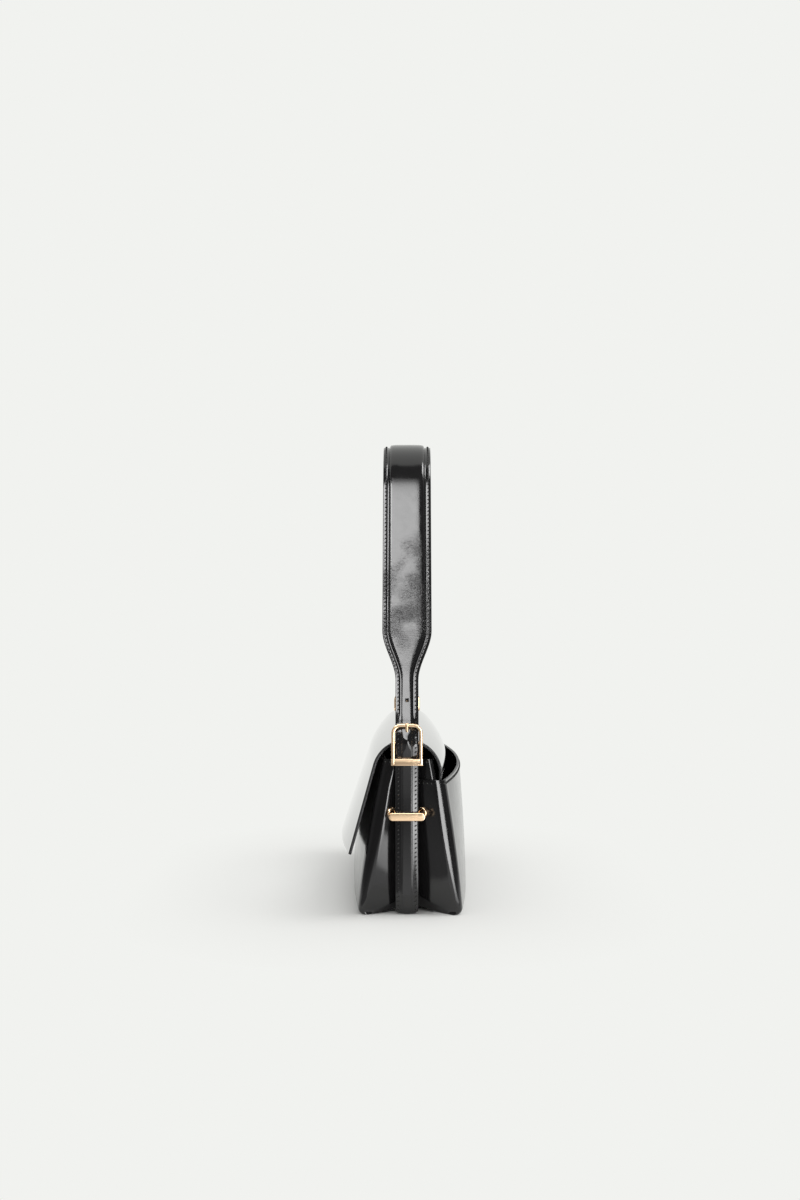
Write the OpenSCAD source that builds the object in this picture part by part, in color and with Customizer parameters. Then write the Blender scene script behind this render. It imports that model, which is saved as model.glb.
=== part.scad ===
// A flap baguette bag with a standing shoulder strap, in millimetres.
// +X runs along the bag's length, -Y is the flap's front, +Y the back pocket, and +Z is up.
// The origin lies on the floor, under the strap's middle plane, halfway along the bag.

/* [Body] */
// Length between the folded ridges of the two gussets
body_l = 248; // [225:1:275]
// Height of the front, back and gusset top edges
body_h = 108.5; // [100:0.5:118]
// Front wall's distance from the strap plane at the base
front_foot = 34.3; // [31:0.1:38]
// Front wall's distance from the strap plane at the top edge
front_top = 16.4; // [15:0.1:18]
// Back wall's distance from the strap plane at the base
back_foot = 33; // [30:0.1:35]
// Back wall's distance from the strap plane at the top edge
back_top = 18; // [16:0.1:18.5]
// How far the front wall swells at mid-length
front_bulge = 10; // [6:0.5:11]
// How the walls lean in, where 1 is a straight taper
wall_curve = 1.3; // [1.1:0.05:1.5]
// Radius of the folded corners
corner_r = 5; // [4:0.5:6]
// How far the gusset's middle is pushed in at the top
recess_top = 3.5; // [2.5:0.5:5]
// How far the gusset's middle is pushed in at the base
recess_foot = 14; // [10:0.5:18]
// Thickness of the leather walls
wall_t = 1.8; // [1.4:0.1:2.2]
// Thickness of the base leather
base_t = 2; // [1.5:0.1:3]
// Thickness of the stiffening board on the base
board_t = 1.6; // [1:0.1:2.5]
// Thickness of the lining
lining_t = 0.9; // [0.6:0.1:1.2]

/* [Pockets] */
// Height of the back pocket's lip
pocket_h = 94; // [84:0.5:96]
// Pocket's distance from the strap plane at the base
pocket_foot = 39; // [37.5:0.1:42]
// Pocket's distance from the strap plane at the lip
pocket_top = 27.3; // [26:0.1:30]
// How far the lip gapes at mid-length
pocket_lip_bulge = 12.3; // [10:0.1:15]
// How far the pocket swells at its base
pocket_foot_bulge = 5; // [4:0.1:6]
// Thickness of the pocket leather
pocket_t = 1.8; // [1.4:0.1:2.2]
// Width of the slip pocket on the lining
inner_pocket_w = 140; // [90:1:170]
// Height of the slip pocket on the lining
inner_pocket_h = 52; // [40:1:60]
// How far the slip pocket's mouth gapes
inner_pocket_gape = 3; // [1:0.5:4]

/* [Flap] */
// Length of the flap along the bag
flap_l = 242; // [220:1:244]
// Outside radius of the bend over the top
flap_r = 24.5; // [24:0.1:25.5]
// Depth of the bend's centre below the body's top edge
flap_drop = 10.8; // [10:0.1:12]
// Room between the front wall and the outside of the hanging front, at the snap
flap_room = 7.15; // [7:0.05:8]
// Length of the hanging front
flap_front_l = 64.6; // [50:0.1:70]
// How far the bend swells at mid-length
flap_bulge = 5.1; // [4.6:0.1:5.6]
// Thickness of the flap's outer leather
flap_skin_t = 1.4; // [1.1:0.1:1.6]
// Thickness of the flap's lining leather
flap_lining_t = 1; // [0.8:0.1:1.1]
// Height of the strip that is sewn to the back wall
flap_seam_h = 13.5; // [10:0.5:18]

/* [Magnetic snap] */
// Height of the snap above the floor
snap_z = 62; // [56:1:68]
// Diameter of the snap's magnet case
snap_d = 18; // [14:1:20]
// Height of the snap's magnet case
snap_case_h = 2.2; // [1.6:0.1:2.4]
// Diameter of the stud's pin
snap_pin_d = 5; // [4:0.5:6]
// Diameter of the washers behind the leather
snap_washer_d = 15; // [12:1:18]
// Thickness of the washers behind the leather
snap_washer_t = 0.6; // [0.5:0.1:0.8]

/* [Strap] */
// Width of the shoulder part
strap_w = 35; // [30:0.5:40]
// Width of the ends that pass through the buckles
strap_end_w = 16; // [15:0.1:16.4]
// Height of the strap's top above the body
strap_rise = 223.5; // [190:0.5:250]
// Radius of the arch at the top
strap_arch_r = 54; // [45:1:60]
// Lean of the shoulder part, in from the vertical
strap_lean = 23.6; // [22:0.1:25]
// Height of the shoulder part's lower end above the body
strap_shoulder = 91; // [85:1:97]
// Length of the taper from the shoulder part to the end
strap_taper = 34; // [28:1:40]
// Thickness of the strap's outer leather
strap_skin_t = 1.3; // [1:0.1:1.5]
// Thickness of the strap's lining leather
strap_lining_t = 1.2; // [0.9:0.1:1.4]
// Height of the padding under the raised middle
strap_pad_t = 1.6; // [1:0.1:2]
// Half-width of the raised middle on the shoulder part
strap_band = 11.5; // [10:0.1:12]
// Half-width of the raised middle on the ends
strap_end_band = 3.5; // [3:0.1:4]
// Diameter of the punched holes
hole_d = 2.4; // [2:0.1:2.8]
// Height of the free hole above the body
hole_rise = 40.5; // [38:0.5:44]
// Thickness of the tails below the buckles
tail_t = 2.6; // [2.2:0.1:2.8]

/* [Buckles] */
// Outside width of the buckle
buckle_w = 21.6; // [21.2:0.1:23]
// Outside height of the buckle
buckle_h = 29; // [28:0.5:31]
// Diameter of the round frame
wire_d = 2.4; // [2:0.1:2.5]
// Outside radius of the frame's top corners
buckle_corner_r = 6.6; // [5:0.1:7.5]
// Height of the flat base bar
base_bar_h = 4.8; // [4:0.1:5.5]
// Thickness of the flat base bar
base_bar_t = 2.2; // [2:0.1:2.5]
// Distance of the buckle's middle plane out from the gusset ridges
buckle_out = 8; // [7.6:0.1:9]
// Depth of the base bar's lower edge below the body's top edge
buckle_drop = 3.4; // [2:0.1:4]
// Height of the pivot bar above the base bar's lower edge
bar_rise = 15; // [14:0.5:16]
// Distance of the pivot bar behind the buckle's middle plane
bar_setback = 5.2; // [4.8:0.1:5.6]
// Diameter of the pivot bar
bar_d = 2.2; // [1.8:0.1:2.4]
// Diameter of the prong
prong_d = 2.2; // [1.8:0.1:2.4]
// Length of the prong from the pivot bar
prong_l = 16.4; // [15.8:0.1:17]
// Width of the prong's eye
eye_w = 3; // [2.4:0.1:3.4]
// Width of the leather loop that holds the buckle
loop_w = 13; // [11:0.5:14]
// Thickness of one layer of the leather loop
loop_t = 1; // [0.8:0.1:1.1]
// Length of the loop's leg on the gusset
loop_leg = 16; // [12:1:20]

/* [Keepers] */
// Height of the keeper bars above the floor
keeper_z = 70; // [60:1:76]
// Width of the keeper bar
keeper_w = 25.5; // [24.5:0.1:27]
// Height of the keeper bar
keeper_h = 5.8; // [5:0.1:6.5]
// Thickness of the keeper bar
keeper_t = 2.2; // [1.8:0.1:2.6]
// Diameter of the two posts
post_d = 3.2; // [2.6:0.1:3.6]
// Distance between the two posts
post_gap = 19.6; // [19.2:0.1:20.2]
// Diameter of the washers on the leather
washer_d = 5.6; // [5:0.1:6]
// Thickness of the washers and of the plate inside
washer_t = 0.8; // [0.6:0.1:1]

/* [Hidden] */
$fn = 48;

leather = "#17171a";
lining_leather = "#2a2624";
gold = "#d8b487";

// Clearance between pieces that only lie against each other
gap = 0.3;
// Radial clearance where a piece turns on its shaft
running = 0.05;
half_l = body_l / 2;
// The panels run between the corners, and the gussets go round them
seam_x = half_l - corner_r;
floor_z = base_t + board_t + lining_t;
// Columns and rows of the wall grids
wall_cols = 12;
wall_rows = 8;
corner_steps = 3;
recess_steps = 3;
// Share of the gusset's half-width that is pushed in flat
flat_share = 0.66;
recess_curve = 1.3;
// The recessed middle of a gusset is one plane that leans in towards the base
gusset_tilt = atan((recess_foot - recess_top) / body_h);

flap_t = flap_skin_t + flap_lining_t;
flap_z = body_h - flap_drop;
flap_scale = flap_bulge / flap_r;
back_bulge = flap_scale * (flap_r - flap_t);
flap_steps = 14;
// Angle of the hanging front out from the vertical, which leaves room for the snap
flap_slope = let (reach = (-front_y(0, snap_z) + flap_room) / (1 + flap_scale), fall = flap_z - snap_z)
  acos(flap_r / norm([reach, fall])) - atan2(fall, reach);
// The front hinge line lies outside the swollen flap, and so does the back one
fold_y = -(flap_r * cos(flap_slope) + flap_bulge + gap);
fold_z = flap_z + flap_r * sin(flap_slope);
lift_y = flap_r + flap_bulge + gap;

strap_top_z = body_h + strap_rise;
pivot_z = body_h + 31.5;
pivot_r = strap_end_w / 2;
shoulder_z = body_h + strap_shoulder;

buckle_x = half_l + buckle_out;
buckle_z = body_h - buckle_drop;
bar_x = buckle_x - bar_setback;
bar_z = buckle_z + bar_rise;
loop_r = bar_d / 2 + 0.1 + loop_t;
arch_z = buckle_z + buckle_h - wire_d / 2;
// The prong leans out so that its side just clears the front of the arch
arch_reach = norm([bar_setback, arch_z - bar_z]);
prong_lean = atan(bar_setback / (arch_z - bar_z))
  + asin((wire_d / 2 + prong_d / 2 + gap / 2) / arch_reach);

// Outer face of the gusset's recessed middle at a height
function recess_x(z) = half_l - recess(z);
function recess(z) = recess_top + (recess_foot - recess_top) * (1 - z / body_h);
function lean_in(z, foot, top, h) = top + (foot - top) * (1 - pow(z / h, wall_curve));
function swell(x) = max(0, 1 - pow(x / seam_x, 2));
function front_edge(z) = lean_in(z, front_foot, front_top, body_h);
function back_edge(z) = lean_in(z, back_foot, back_top, body_h);
function pocket_edge(z) = lean_in(z, pocket_foot, pocket_top, pocket_h);
function front_y(x, z) = -front_edge(z)
  - front_bulge * swell(x) * (0.5 + 0.5 * sin(180 * z / body_h));
function back_y(x, z) = back_edge(z) + back_bulge * swell(x);
function pocket_y(x, z) = pocket_edge(z)
  + swell(x) * (pocket_foot_bulge + (pocket_lip_bulge - pocket_foot_bulge) * z / pocket_h);

function steps(low, high, n) = [for (i = [0:n]) low + (high - low) * i / n];
function rows(low, high) = steps(low, high, wall_rows);
function reversed(list) = [for (i = [len(list) - 1:-1:0]) list[i]];

// One half of a gusset's outline from the ridge to the middle, as [x, distance from Y 0]
function half_recess(z, edge, inset, n) = let (
    ridge = edge - corner_r,
    flat = ridge * flat_share)
  [for (y = steps(ridge, flat, n))
    [half_l - inset - recess(z) * (1 - pow(max(0, y - flat) / (ridge - flat), recess_curve)), y]];
// The folded corner from the panel's seam to the ridge
function half_corner(edge, inset) = [for (a = steps(0, 90, corner_steps))
    [seam_x + (corner_r - inset) * sin(a), edge - corner_r + (corner_r - inset) * cos(a)]];
function half_end(z, edge, inset) = concat(
    half_corner(edge, inset),
    [for (i = [1:recess_steps]) half_recess(z, edge, inset, recess_steps)[i]]);
// A whole gusset outline from the front seam to the back seam
function end_outline(z, inset) = concat(
    [for (p = half_end(z, front_edge(z), inset)) [p[0], -p[1]]],
    reversed(half_end(z, back_edge(z), inset)));

// The pocket lies on the back half of each gusset, then goes straight out to its own corner
function wing(z, inset) = concat(
    reversed([for (p = half_recess(z, back_edge(z), inset - pocket_t, recess_steps)) p]),
    reversed([for (p = half_corner(pocket_edge(z), inset)) [p[0] + pocket_t, p[1]]]));
function pocket_outline(z, inset) = concat(
    wing(z, inset),
    [for (x = steps(seam_x, -seam_x, wall_cols)) [x, pocket_y(x, z) - inset]],
    reversed([for (p = wing(z, inset)) [-p[0], p[1]]]));

// Section of the flap: a point at an angle round the bend, or below it on the hanging front
function bend_point(a, inset) = [(flap_r - inset) * cos(a), flap_z + (flap_r - inset) * sin(a)];
function hang_point(d, inset) = bend_point(180 - flap_slope, inset)
  - d * [sin(flap_slope), cos(flap_slope)];
function swollen(p, x) = [x, p[0] * (1 + flap_scale * swell(x)), p[1]];
flap_xs = steps(-flap_l / 2, flap_l / 2, wall_cols);

// Route of the strap on one side, from the top down to the swing line, as [x, z]
arch_end = [strap_arch_r * cos(strap_lean),
            strap_top_z - strap_arch_r * (1 - sin(strap_lean))];
shoulder_x = arch_end[0] + (arch_end[1] - shoulder_z) * tan(strap_lean);
pivot_x = half_l + 0.8;
leg_lean = atan((pivot_x - shoulder_x) / (shoulder_z - pivot_z));
function leg_point(z) = [pivot_x - (z - pivot_z) * tan(leg_lean), z];
function shoulder_point(z) = [shoulder_x - (z - shoulder_z) * tan(strap_lean), z];
arch_steps = 8;
strap_half = concat(
    [for (a = steps(90, strap_lean, arch_steps))
      [strap_arch_r * cos(a), strap_top_z - strap_arch_r * (1 - sin(a))]],
    [for (z = steps(arch_end[1], shoulder_z + 6, 4)) if (z < arch_end[1]) shoulder_point(z)],
    [for (z = steps(shoulder_z - 3, shoulder_z - 3 - strap_taper, 8)) leg_point(z)],
    [for (z = [pivot_z + 6, pivot_z, pivot_z - 3, pivot_z - 5.5, pivot_z - 7, pivot_z - 7.8])
      leg_point(z)]);
strap_route = concat(reversed([for (p = strap_half) [-p[0], p[1]]]),
                     [for (i = [1:len(strap_half) - 1]) strap_half[i]]);

// Half-width at a height: shoulder part, a smooth taper, the end, and a round tip at the pivot
function ease(t) = let (c = min(1, max(0, t))) c * c * (3 - 2 * c);
function strap_half_w(z) = z < pivot_z
  ? sqrt(max(0, pow(pivot_r, 2) - pow(pivot_z - z, 2)))
  : (strap_end_w + (strap_w - strap_end_w) * ease((z - shoulder_z + 3 + strap_taper) / strap_taper)) / 2;
function strap_band_w(w) = w < pivot_r
  ? w * strap_end_band / pivot_r
  : strap_end_band + (w - pivot_r) * (strap_band - strap_end_band) / ((strap_w - strap_end_w) / 2);
// The padding thins out to nothing before the buckle
function pad_h(z) = strap_pad_t * (0.1 + 0.9 * ease((z - pivot_z) / 20));

// Unit vector out of the route at a point, away from the bag's middle
function route_normal(r, i) = let (
    a = r[max(0, i - 1)],
    b = r[min(len(r) - 1, i + 1)],
    d = b - a)
  [-d[1], d[0]] / norm(d);
// A grid row across the strap: offsets are [share of half-width or distance, height]
function strap_row(i, across) = let (p = strap_route[i], n = route_normal(strap_route, i))
  [for (c = across) [p[0] + n[0] * c[1], c[0], p[1] + n[1] * c[1]]];

// Route of a tail, from the swing line down to its tip, as [x, z]
// The rounded route cuts inside its corner over the bar, so that corner stands out further
tail_bow = 0.8;
tail_over_bar_x = bar_x + loop_r + gap + tail_bow + tail_t / 2;
tail_at_base_bar_x = buckle_x - base_bar_t / 2 - 3 * gap - tail_t / 2;
tail_tip_z = 1.2;
keeper_stand = 7.8;
keeper_x = recess_x(keeper_z) + keeper_stand;
tail_route = [
  [pivot_x, pivot_z],
  [pivot_x + 2.4, pivot_z - 7],
  [tail_over_bar_x, bar_z],
  [tail_at_base_bar_x, buckle_z + base_bar_h / 2],
  [keeper_x + 1.6, keeper_z + 26],
  [keeper_x, keeper_z + 12],
  [keeper_x - 0.6, keeper_z - 14],
  [half_l - 0.5, 22],
  [half_l - 2, tail_tip_z + 5],
  [half_l - 3.5, tail_tip_z]];
// Two passes of corner cutting round a route off
function cut_corners(r) = concat([r[0]],
    [for (i = [1:len(r) - 2]) each [r[i] + (r[i - 1] - r[i]) / 4, r[i] + (r[i + 1] - r[i]) / 4]],
    [r[len(r) - 1]]);
function ribbon(r, t) = concat(
    [for (i = [0:len(r) - 1]) r[i] + route_normal(r, i) * t / 2],
    [for (i = [len(r) - 1:-1:0]) r[i] - route_normal(r, i) * t / 2]);

// A closed solid between two grids of points with the same rows and columns
module sheet(outer, inner) {
  rows = len(outer);
  cols = len(outer[0]);
  half = rows * cols;
  function at(i, j) = i * cols + j;
  function quad(a, b, c, d) = [[a, b, c], [a, c, d]];
  points = concat([for (row = outer) each row], [for (row = inner) each row]);
  faces = concat(
    [for (i = [0:rows - 2]) for (j = [0:cols - 2])
      each quad(at(i, j), at(i + 1, j), at(i + 1, j + 1), at(i, j + 1))],
    [for (i = [0:rows - 2]) for (j = [0:cols - 2])
      each [for (f = quad(at(i, j), at(i + 1, j), at(i + 1, j + 1), at(i, j + 1)))
        [half + f[2], half + f[1], half + f[0]]]],
    [for (j = [0:cols - 2]) each concat(
      quad(at(0, j + 1), half + at(0, j + 1), half + at(0, j), at(0, j)),
      quad(at(rows - 1, j), half + at(rows - 1, j), half + at(rows - 1, j + 1), at(rows - 1, j + 1)))],
    [for (i = [0:rows - 2]) each concat(
      quad(at(i, 0), half + at(i, 0), half + at(i + 1, 0), at(i + 1, 0)),
      quad(at(i + 1, cols - 1), half + at(i + 1, cols - 1), half + at(i, cols - 1), at(i, cols - 1)))]);
  polyhedron(points = points, faces = faces, convexity = 10);
}

// The right-hand piece as drawn, or its mirror image at the left-hand end
module on_side(side) {
  if (side > 0) children();
  else mirror([1, 0, 0]) children();
}

// Local frame on the recessed plane of the right-hand gusset: +X points out of it
module on_gusset(z) {
  translate([recess_x(z), 0, z]) rotate([0, gusset_tilt, 0]) children();
}

// Front wall grid at an inset from the outer face
function front_grid(inset, low) = [for (z = rows(low, body_h))
    [for (x = steps(-seam_x, seam_x, wall_cols)) [x, front_y(x, z) + inset, z]]];
function back_grid(inset, low) = [for (z = rows(low, body_h))
    [for (x = steps(seam_x, -seam_x, wall_cols)) [x, back_y(x, z) - inset, z]]];
function end_grid(inset, low) = [for (z = rows(low, body_h))
    [for (p = end_outline(z, inset)) [p[0], p[1], z]]];

module front_panel() {
  color(leather) sheet(front_grid(0, base_t), front_grid(wall_t, base_t));
}

module back_panel() {
  color(leather) sheet(back_grid(0, base_t), back_grid(wall_t, base_t));
}

// Outline of the base: the front wall, the ends and the pocket at the base's height
module base_outline() {
  ends = [for (p = end_outline(base_t, 0)) p];
  front_half = [for (p = ends) if (p[1] < 0) p];
  right = concat(front_half, wing(base_t, 0));
  polygon(concat(
    [for (x = steps(-seam_x, seam_x, wall_cols)) if (abs(x) < seam_x) [x, front_y(x, base_t)]],
    right,
    [for (x = steps(seam_x, -seam_x, wall_cols)) if (abs(x) < seam_x) [x, pocket_y(x, base_t)]],
    reversed([for (p = right) [-p[0], p[1]]])));
}

module base_panel() {
  color(leather) linear_extrude(base_t) base_outline();
}

// Outline of what lies inside the walls at the base
module inside_outline(inset) {
  right = end_outline(base_t, inset);
  polygon(concat(
    [for (x = steps(-seam_x, seam_x, wall_cols)) if (abs(x) < seam_x) [x, front_y(x, base_t) + inset]],
    right,
    [for (x = steps(seam_x, -seam_x, wall_cols)) if (abs(x) < seam_x) [x, back_y(x, base_t) - inset]],
    reversed([for (p = right) [-p[0], p[1]]])));
}

module base_board() {
  color("#8a6f4d") translate([0, 0, base_t]) linear_extrude(board_t)
    inside_outline(wall_t + lining_t + 2);
}

module lining_base() {
  color(lining_leather) translate([0, 0, base_t + board_t]) linear_extrude(lining_t)
    inside_outline(wall_t + lining_t + 2);
}

// Clearance holes for the two posts of a keeper
module post_holes() {
  on_gusset(keeper_z) for (y = [-1, 1])
    translate([-wall_t - lining_t - 3, y * post_gap / 2, 0]) rotate([0, 90, 0])
      cylinder(d = post_d + 2 * gap, h = wall_t + lining_t + 3 + pocket_t + 3);
}

module gusset(side) {
  color(leather) on_side(side) difference() {
    sheet(end_grid(0, base_t), end_grid(wall_t, base_t));
    post_holes();
  }
}

module lining_gusset(side) {
  color(lining_leather) on_side(side) difference() {
    sheet(end_grid(wall_t, base_t), end_grid(wall_t + lining_t, base_t));
    post_holes();
  }
}

module back_pocket() {
  function pocket_grid(inset) = [for (z = rows(base_t, pocket_h))
      [for (p = pocket_outline(z, inset)) [p[0], p[1], z]]];
  color(leather) difference() {
    sheet(pocket_grid(0), pocket_grid(pocket_t));
    for (side = [-1, 1]) on_side(side) post_holes();
  }
}

module lining_front() {
  color(lining_leather) sheet(front_grid(wall_t, base_t), front_grid(wall_t + lining_t, base_t));
}

module lining_back() {
  color(lining_leather) sheet(back_grid(wall_t, base_t), back_grid(wall_t + lining_t, base_t));
}

// Slip pocket: sewn to the back lining on three sides, with a mouth that gapes a little
module inner_pocket() {
  low = body_h - 20 - inner_pocket_h;
  half_w = inner_pocket_w / 2;
  function gape(x, z) = inner_pocket_gape * (1 - pow(x / half_w, 2)) * (z - low) / inner_pocket_h;
  function grid(inset, loose) = [for (z = rows(low, low + inner_pocket_h))
      [for (x = steps(half_w, -half_w, wall_cols))
        [x, back_y(x, z) - wall_t - lining_t - inset - loose * gape(x, z), z]]];
  color(lining_leather) sheet(grid(0.02, 1), grid(lining_t, 1));
}

// Strip of the flap that is sewn to the back wall, thicker where it turns over
module flap_back() {
  low = flap_z - flap_seam_h;
  high = flap_z - gap;
  function thick(x, z) = let (t = (z - low) / (high - low))
    flap_t + t * (flap_r * (1 + flap_scale * swell(x)) - back_y(x, high) - flap_t);
  color(leather) sheet(
    [for (z = steps(low, high, 4)) [for (x = reversed(flap_xs)) [x, back_y(x, z) + thick(x, z), z]]],
    [for (z = steps(low, high, 4)) [for (x = reversed(flap_xs)) [x, back_y(x, z), z]]]);
}

function bend_grid(inset) = [for (a = steps(0, 180 - flap_slope, flap_steps))
    [for (x = reversed(flap_xs)) swollen(bend_point(a, inset), x)]];
function hang_grid(inset) = [for (d = steps(gap, flap_front_l, 4))
    [for (x = reversed(flap_xs)) swollen(hang_point(d, inset), x)]];

module flap_top() {
  color(leather) sheet(bend_grid(0), bend_grid(flap_skin_t));
}

module flap_top_lining() {
  color(lining_leather) sheet(bend_grid(flap_skin_t), bend_grid(flap_t));
}

module flap_front() {
  color(leather) sheet(hang_grid(0), hang_grid(flap_skin_t));
}

module flap_front_lining() {
  color(lining_leather) difference() {
    sheet(hang_grid(flap_skin_t), hang_grid(flap_t));
    snap_frame() {
      translate([0, 0, -1]) cylinder(d = snap_pin_d + 2 * running, h = flap_t + 1);
      translate([0, 0, flap_lining_t - snap_washer_t])
        cylinder(d = snap_washer_d + 2 * running, h = flap_t);
    }
  }
}

// Local frame of the snap: +Z points out of the bag, and Z 0 is the flap lining's inner face
module snap_frame() {
  d = (fold_z - snap_z) / cos(flap_slope);
  p = swollen(hang_point(d, flap_t), 0);
  slope = atan(tan(flap_slope) * (1 + flap_scale));
  translate(p) rotate([90 - slope, 0, 0]) children();
}

module snap_stud() {
  color(gold) snap_frame() {
    translate([0, 0, -snap_case_h]) cylinder(d = snap_d, h = snap_case_h);
    cylinder(d = snap_pin_d, h = flap_lining_t - snap_washer_t);
  }
}

module snap_stud_washer() {
  color(gold) snap_frame() translate([0, 0, flap_lining_t - snap_washer_t])
    cylinder(d = snap_washer_d, h = snap_washer_t - 0.05);
}

// The socket stands on the front wall and faces the stud
module snap_socket() {
  color(gold) difference() {
    snap_frame() translate([0, 0, -snap_case_h - gap - 6]) cylinder(d = snap_d, h = 6);
    sheet(front_grid(0, base_t), front_grid(20, base_t));
  }
}

module snap_socket_washer() {
  inner = wall_t + lining_t;
  color(gold) intersection() {
    translate([0, 0, snap_z]) rotate([90, 0, 0]) cylinder(d = snap_washer_d, h = half_l);
    sheet(front_grid(inner, base_t), front_grid(inner + snap_washer_t, base_t));
  }
}

module strap_hole() {
  p = leg_point(body_h + hole_rise);
  for (side = [-1, 1]) on_side(side) translate([p[0], 0, p[1]]) rotate([0, 90 - leg_lean, 0])
    cylinder(d = hole_d, h = 20, center = true);
}

module strap_outer() {
  function rows_at(heights) = [for (i = [0:len(strap_route) - 1]) let (
      z = strap_route[i][1],
      w = strap_half_w(z),
      b = strap_band_w(w),
      h = pad_h(z))
    strap_row(i, heights == "top"
      ? [[-w, strap_skin_t], [-1.25 * b, strap_skin_t], [-b, strap_skin_t + h],
         [b, strap_skin_t + h], [1.25 * b, strap_skin_t], [w, strap_skin_t]]
      : [[-w, 0], [-1.1 * b, 0], [-0.85 * b, h], [0.85 * b, h], [1.1 * b, 0], [w, 0]])];
  color(leather) difference() {
    sheet(rows_at("top"), rows_at("bottom"));
    strap_hole();
  }
}

module strap_padding() {
  inner = [for (i = [0:len(strap_route) - 1]) if (strap_route[i][1] > pivot_z + 12) i];
  function grid(share, lift) = [for (i = inner) let (
      z = strap_route[i][1],
      b = strap_band_w(strap_half_w(z)) * share)
    strap_row(i, [for (t = [-1, 0, 1]) [t * b, (pad_h(z) - 0.1) * lift]])];
  color("#c9bfae") difference() {
    sheet(grid(0.8, 1), grid(1.02, 0));
    strap_hole();
  }
}

module strap_lining() {
  function grid(height) = [for (i = [0:len(strap_route) - 1]) let (w = strap_half_w(strap_route[i][1]))
    strap_row(i, [for (t = steps(-1, 1, 2)) [t * w, height]])];
  color(lining_leather) difference() {
    sheet(grid(0), grid(-strap_lining_t));
    strap_hole();
  }
}

// A tail: straight-sided, round at the tip, hollowed at the top where the strap swings
module strap_tail(side) {
  route = cut_corners(cut_corners(tail_route));
  tip_r = strap_end_w / 2;
  color(leather) on_side(side) difference() {
    intersection() {
      rotate([90, 0, 0]) linear_extrude(strap_end_w, center = true) polygon(ribbon(route, tail_t));
      translate([half_l - 20, 0, 0]) rotate([90, 0, 90]) linear_extrude(40) union() {
        translate([0, tail_tip_z + tip_r]) circle(r = tip_r);
        translate([-tip_r, tail_tip_z + tip_r]) square([strap_end_w, pivot_z - 4 - tail_tip_z - tip_r]);
      }
    }
    translate([half_l - 20, 0, pivot_z]) rotate([0, 90, 0]) cylinder(r = pivot_r + 2 * gap, h = 40);
    prong_slot();
  }
}

// Room for the prong through the tail, at rest and lifted
module prong_slot() {
  w = prong_d + 2 * gap;
  translate([bar_x, 0, bar_z]) for (lift = [0, 4, 8.5]) rotate([0, prong_lean + lift, 0])
    translate([-w / 2, -w / 2, 0]) cube([w, w, prong_l + loop_r]);
}

module buckle_frame(side) {
  r = wire_d / 2;
  half_w = buckle_w / 2 - r;
  corner = buckle_corner_r - r;
  color(gold) on_side(side) translate([buckle_x, 0, 0]) {
    for (y = [-1, 1]) {
      translate([0, y * half_w, buckle_z + base_bar_h / 2])
        cylinder(r = r, h = arch_z - corner - buckle_z - base_bar_h / 2);
      translate([0, y * (half_w - corner), arch_z - corner]) rotate([90, 0, 90])
        rotate([0, 0, y > 0 ? 0 : 90]) rotate_extrude(angle = 90) translate([corner, 0]) circle(r = r);
    }
    translate([0, 0, arch_z]) rotate([90, 0, 0])
      cylinder(r = r, h = 2 * (half_w - corner), center = true);
    translate([-base_bar_t / 2, -buckle_w / 2, buckle_z]) cube([base_bar_t, buckle_w, base_bar_h]);
  }
}

// Pivot bar, set back behind the frame on two short lugs
module buckle_bar(side) {
  half_w = (buckle_w - wire_d) / 2;
  color(gold) on_side(side) {
    translate([bar_x, 0, bar_z]) rotate([90, 0, 0]) cylinder(d = bar_d, h = 2 * half_w, center = true);
    for (y = [-1, 1]) translate([bar_x, y * half_w, bar_z]) {
      sphere(d = bar_d);
      rotate([0, 90, 0]) cylinder(d = bar_d, h = bar_setback - wire_d / 2);
    }
  }
}

module prong(side) {
  color(gold) on_side(side) translate([bar_x, 0, bar_z]) difference() {
    union() {
      rotate([90, 0, 0]) cylinder(r = loop_r, h = eye_w, center = true);
      rotate([0, prong_lean, 0]) cylinder(d = prong_d, h = prong_l);
      rotate([0, prong_lean, 0]) translate([0, 0, prong_l]) sphere(d = prong_d);
    }
    rotate([90, 0, 0]) cylinder(r = bar_d / 2 + running, h = eye_w + 2, center = true);
  }
}

// Leather loop round the pivot bar, with a leg that is sewn to the gusset
module buckle_loop(side) {
  leg_top = recess_x(body_h) + loop_t;
  slope = tan(gusset_tilt);
  leg = [
    [bar_x - loop_r + loop_t, bar_z],
    [leg_top + 1.2, body_h + 1],
    [leg_top - slope, body_h - 3],
    [leg_top - slope * loop_leg, body_h - loop_leg]];
  color(leather) on_side(side) difference() {
    union() {
      translate([bar_x, 0, bar_z]) rotate([90, 0, 0]) cylinder(r = loop_r, h = loop_w, center = true);
      rotate([90, 0, 0]) linear_extrude(loop_w, center = true) polygon(ribbon(leg, 2 * loop_t));
    }
    translate([bar_x, 0, bar_z]) rotate([90, 0, 0])
      cylinder(d = bar_d + 0.2, h = loop_w + 2, center = true);
    translate([bar_x, 0, bar_z + 1]) cube([4 * loop_r, eye_w + 2 * gap, 2 * loop_r + 6], center = true);
  }
}

// Keeper: a flat bar with round ends on two posts that go through the gusset
module keeper_bar(side) {
  stand = keeper_stand + tail_t / 2 + gap;
  color(gold) on_side(side) on_gusset(keeper_z) {
    translate([stand, 0, 0]) rotate([90, 0, 90]) linear_extrude(keeper_t) union() {
      square([keeper_w - keeper_h, keeper_h], center = true);
      for (y = [-1, 1]) translate([y * (keeper_w - keeper_h) / 2, 0]) circle(d = keeper_h);
    }
    for (y = [-1, 1]) translate([-wall_t - lining_t, y * post_gap / 2, 0]) rotate([0, 90, 0])
      cylinder(d = post_d, h = stand + wall_t + lining_t);
  }
}

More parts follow.
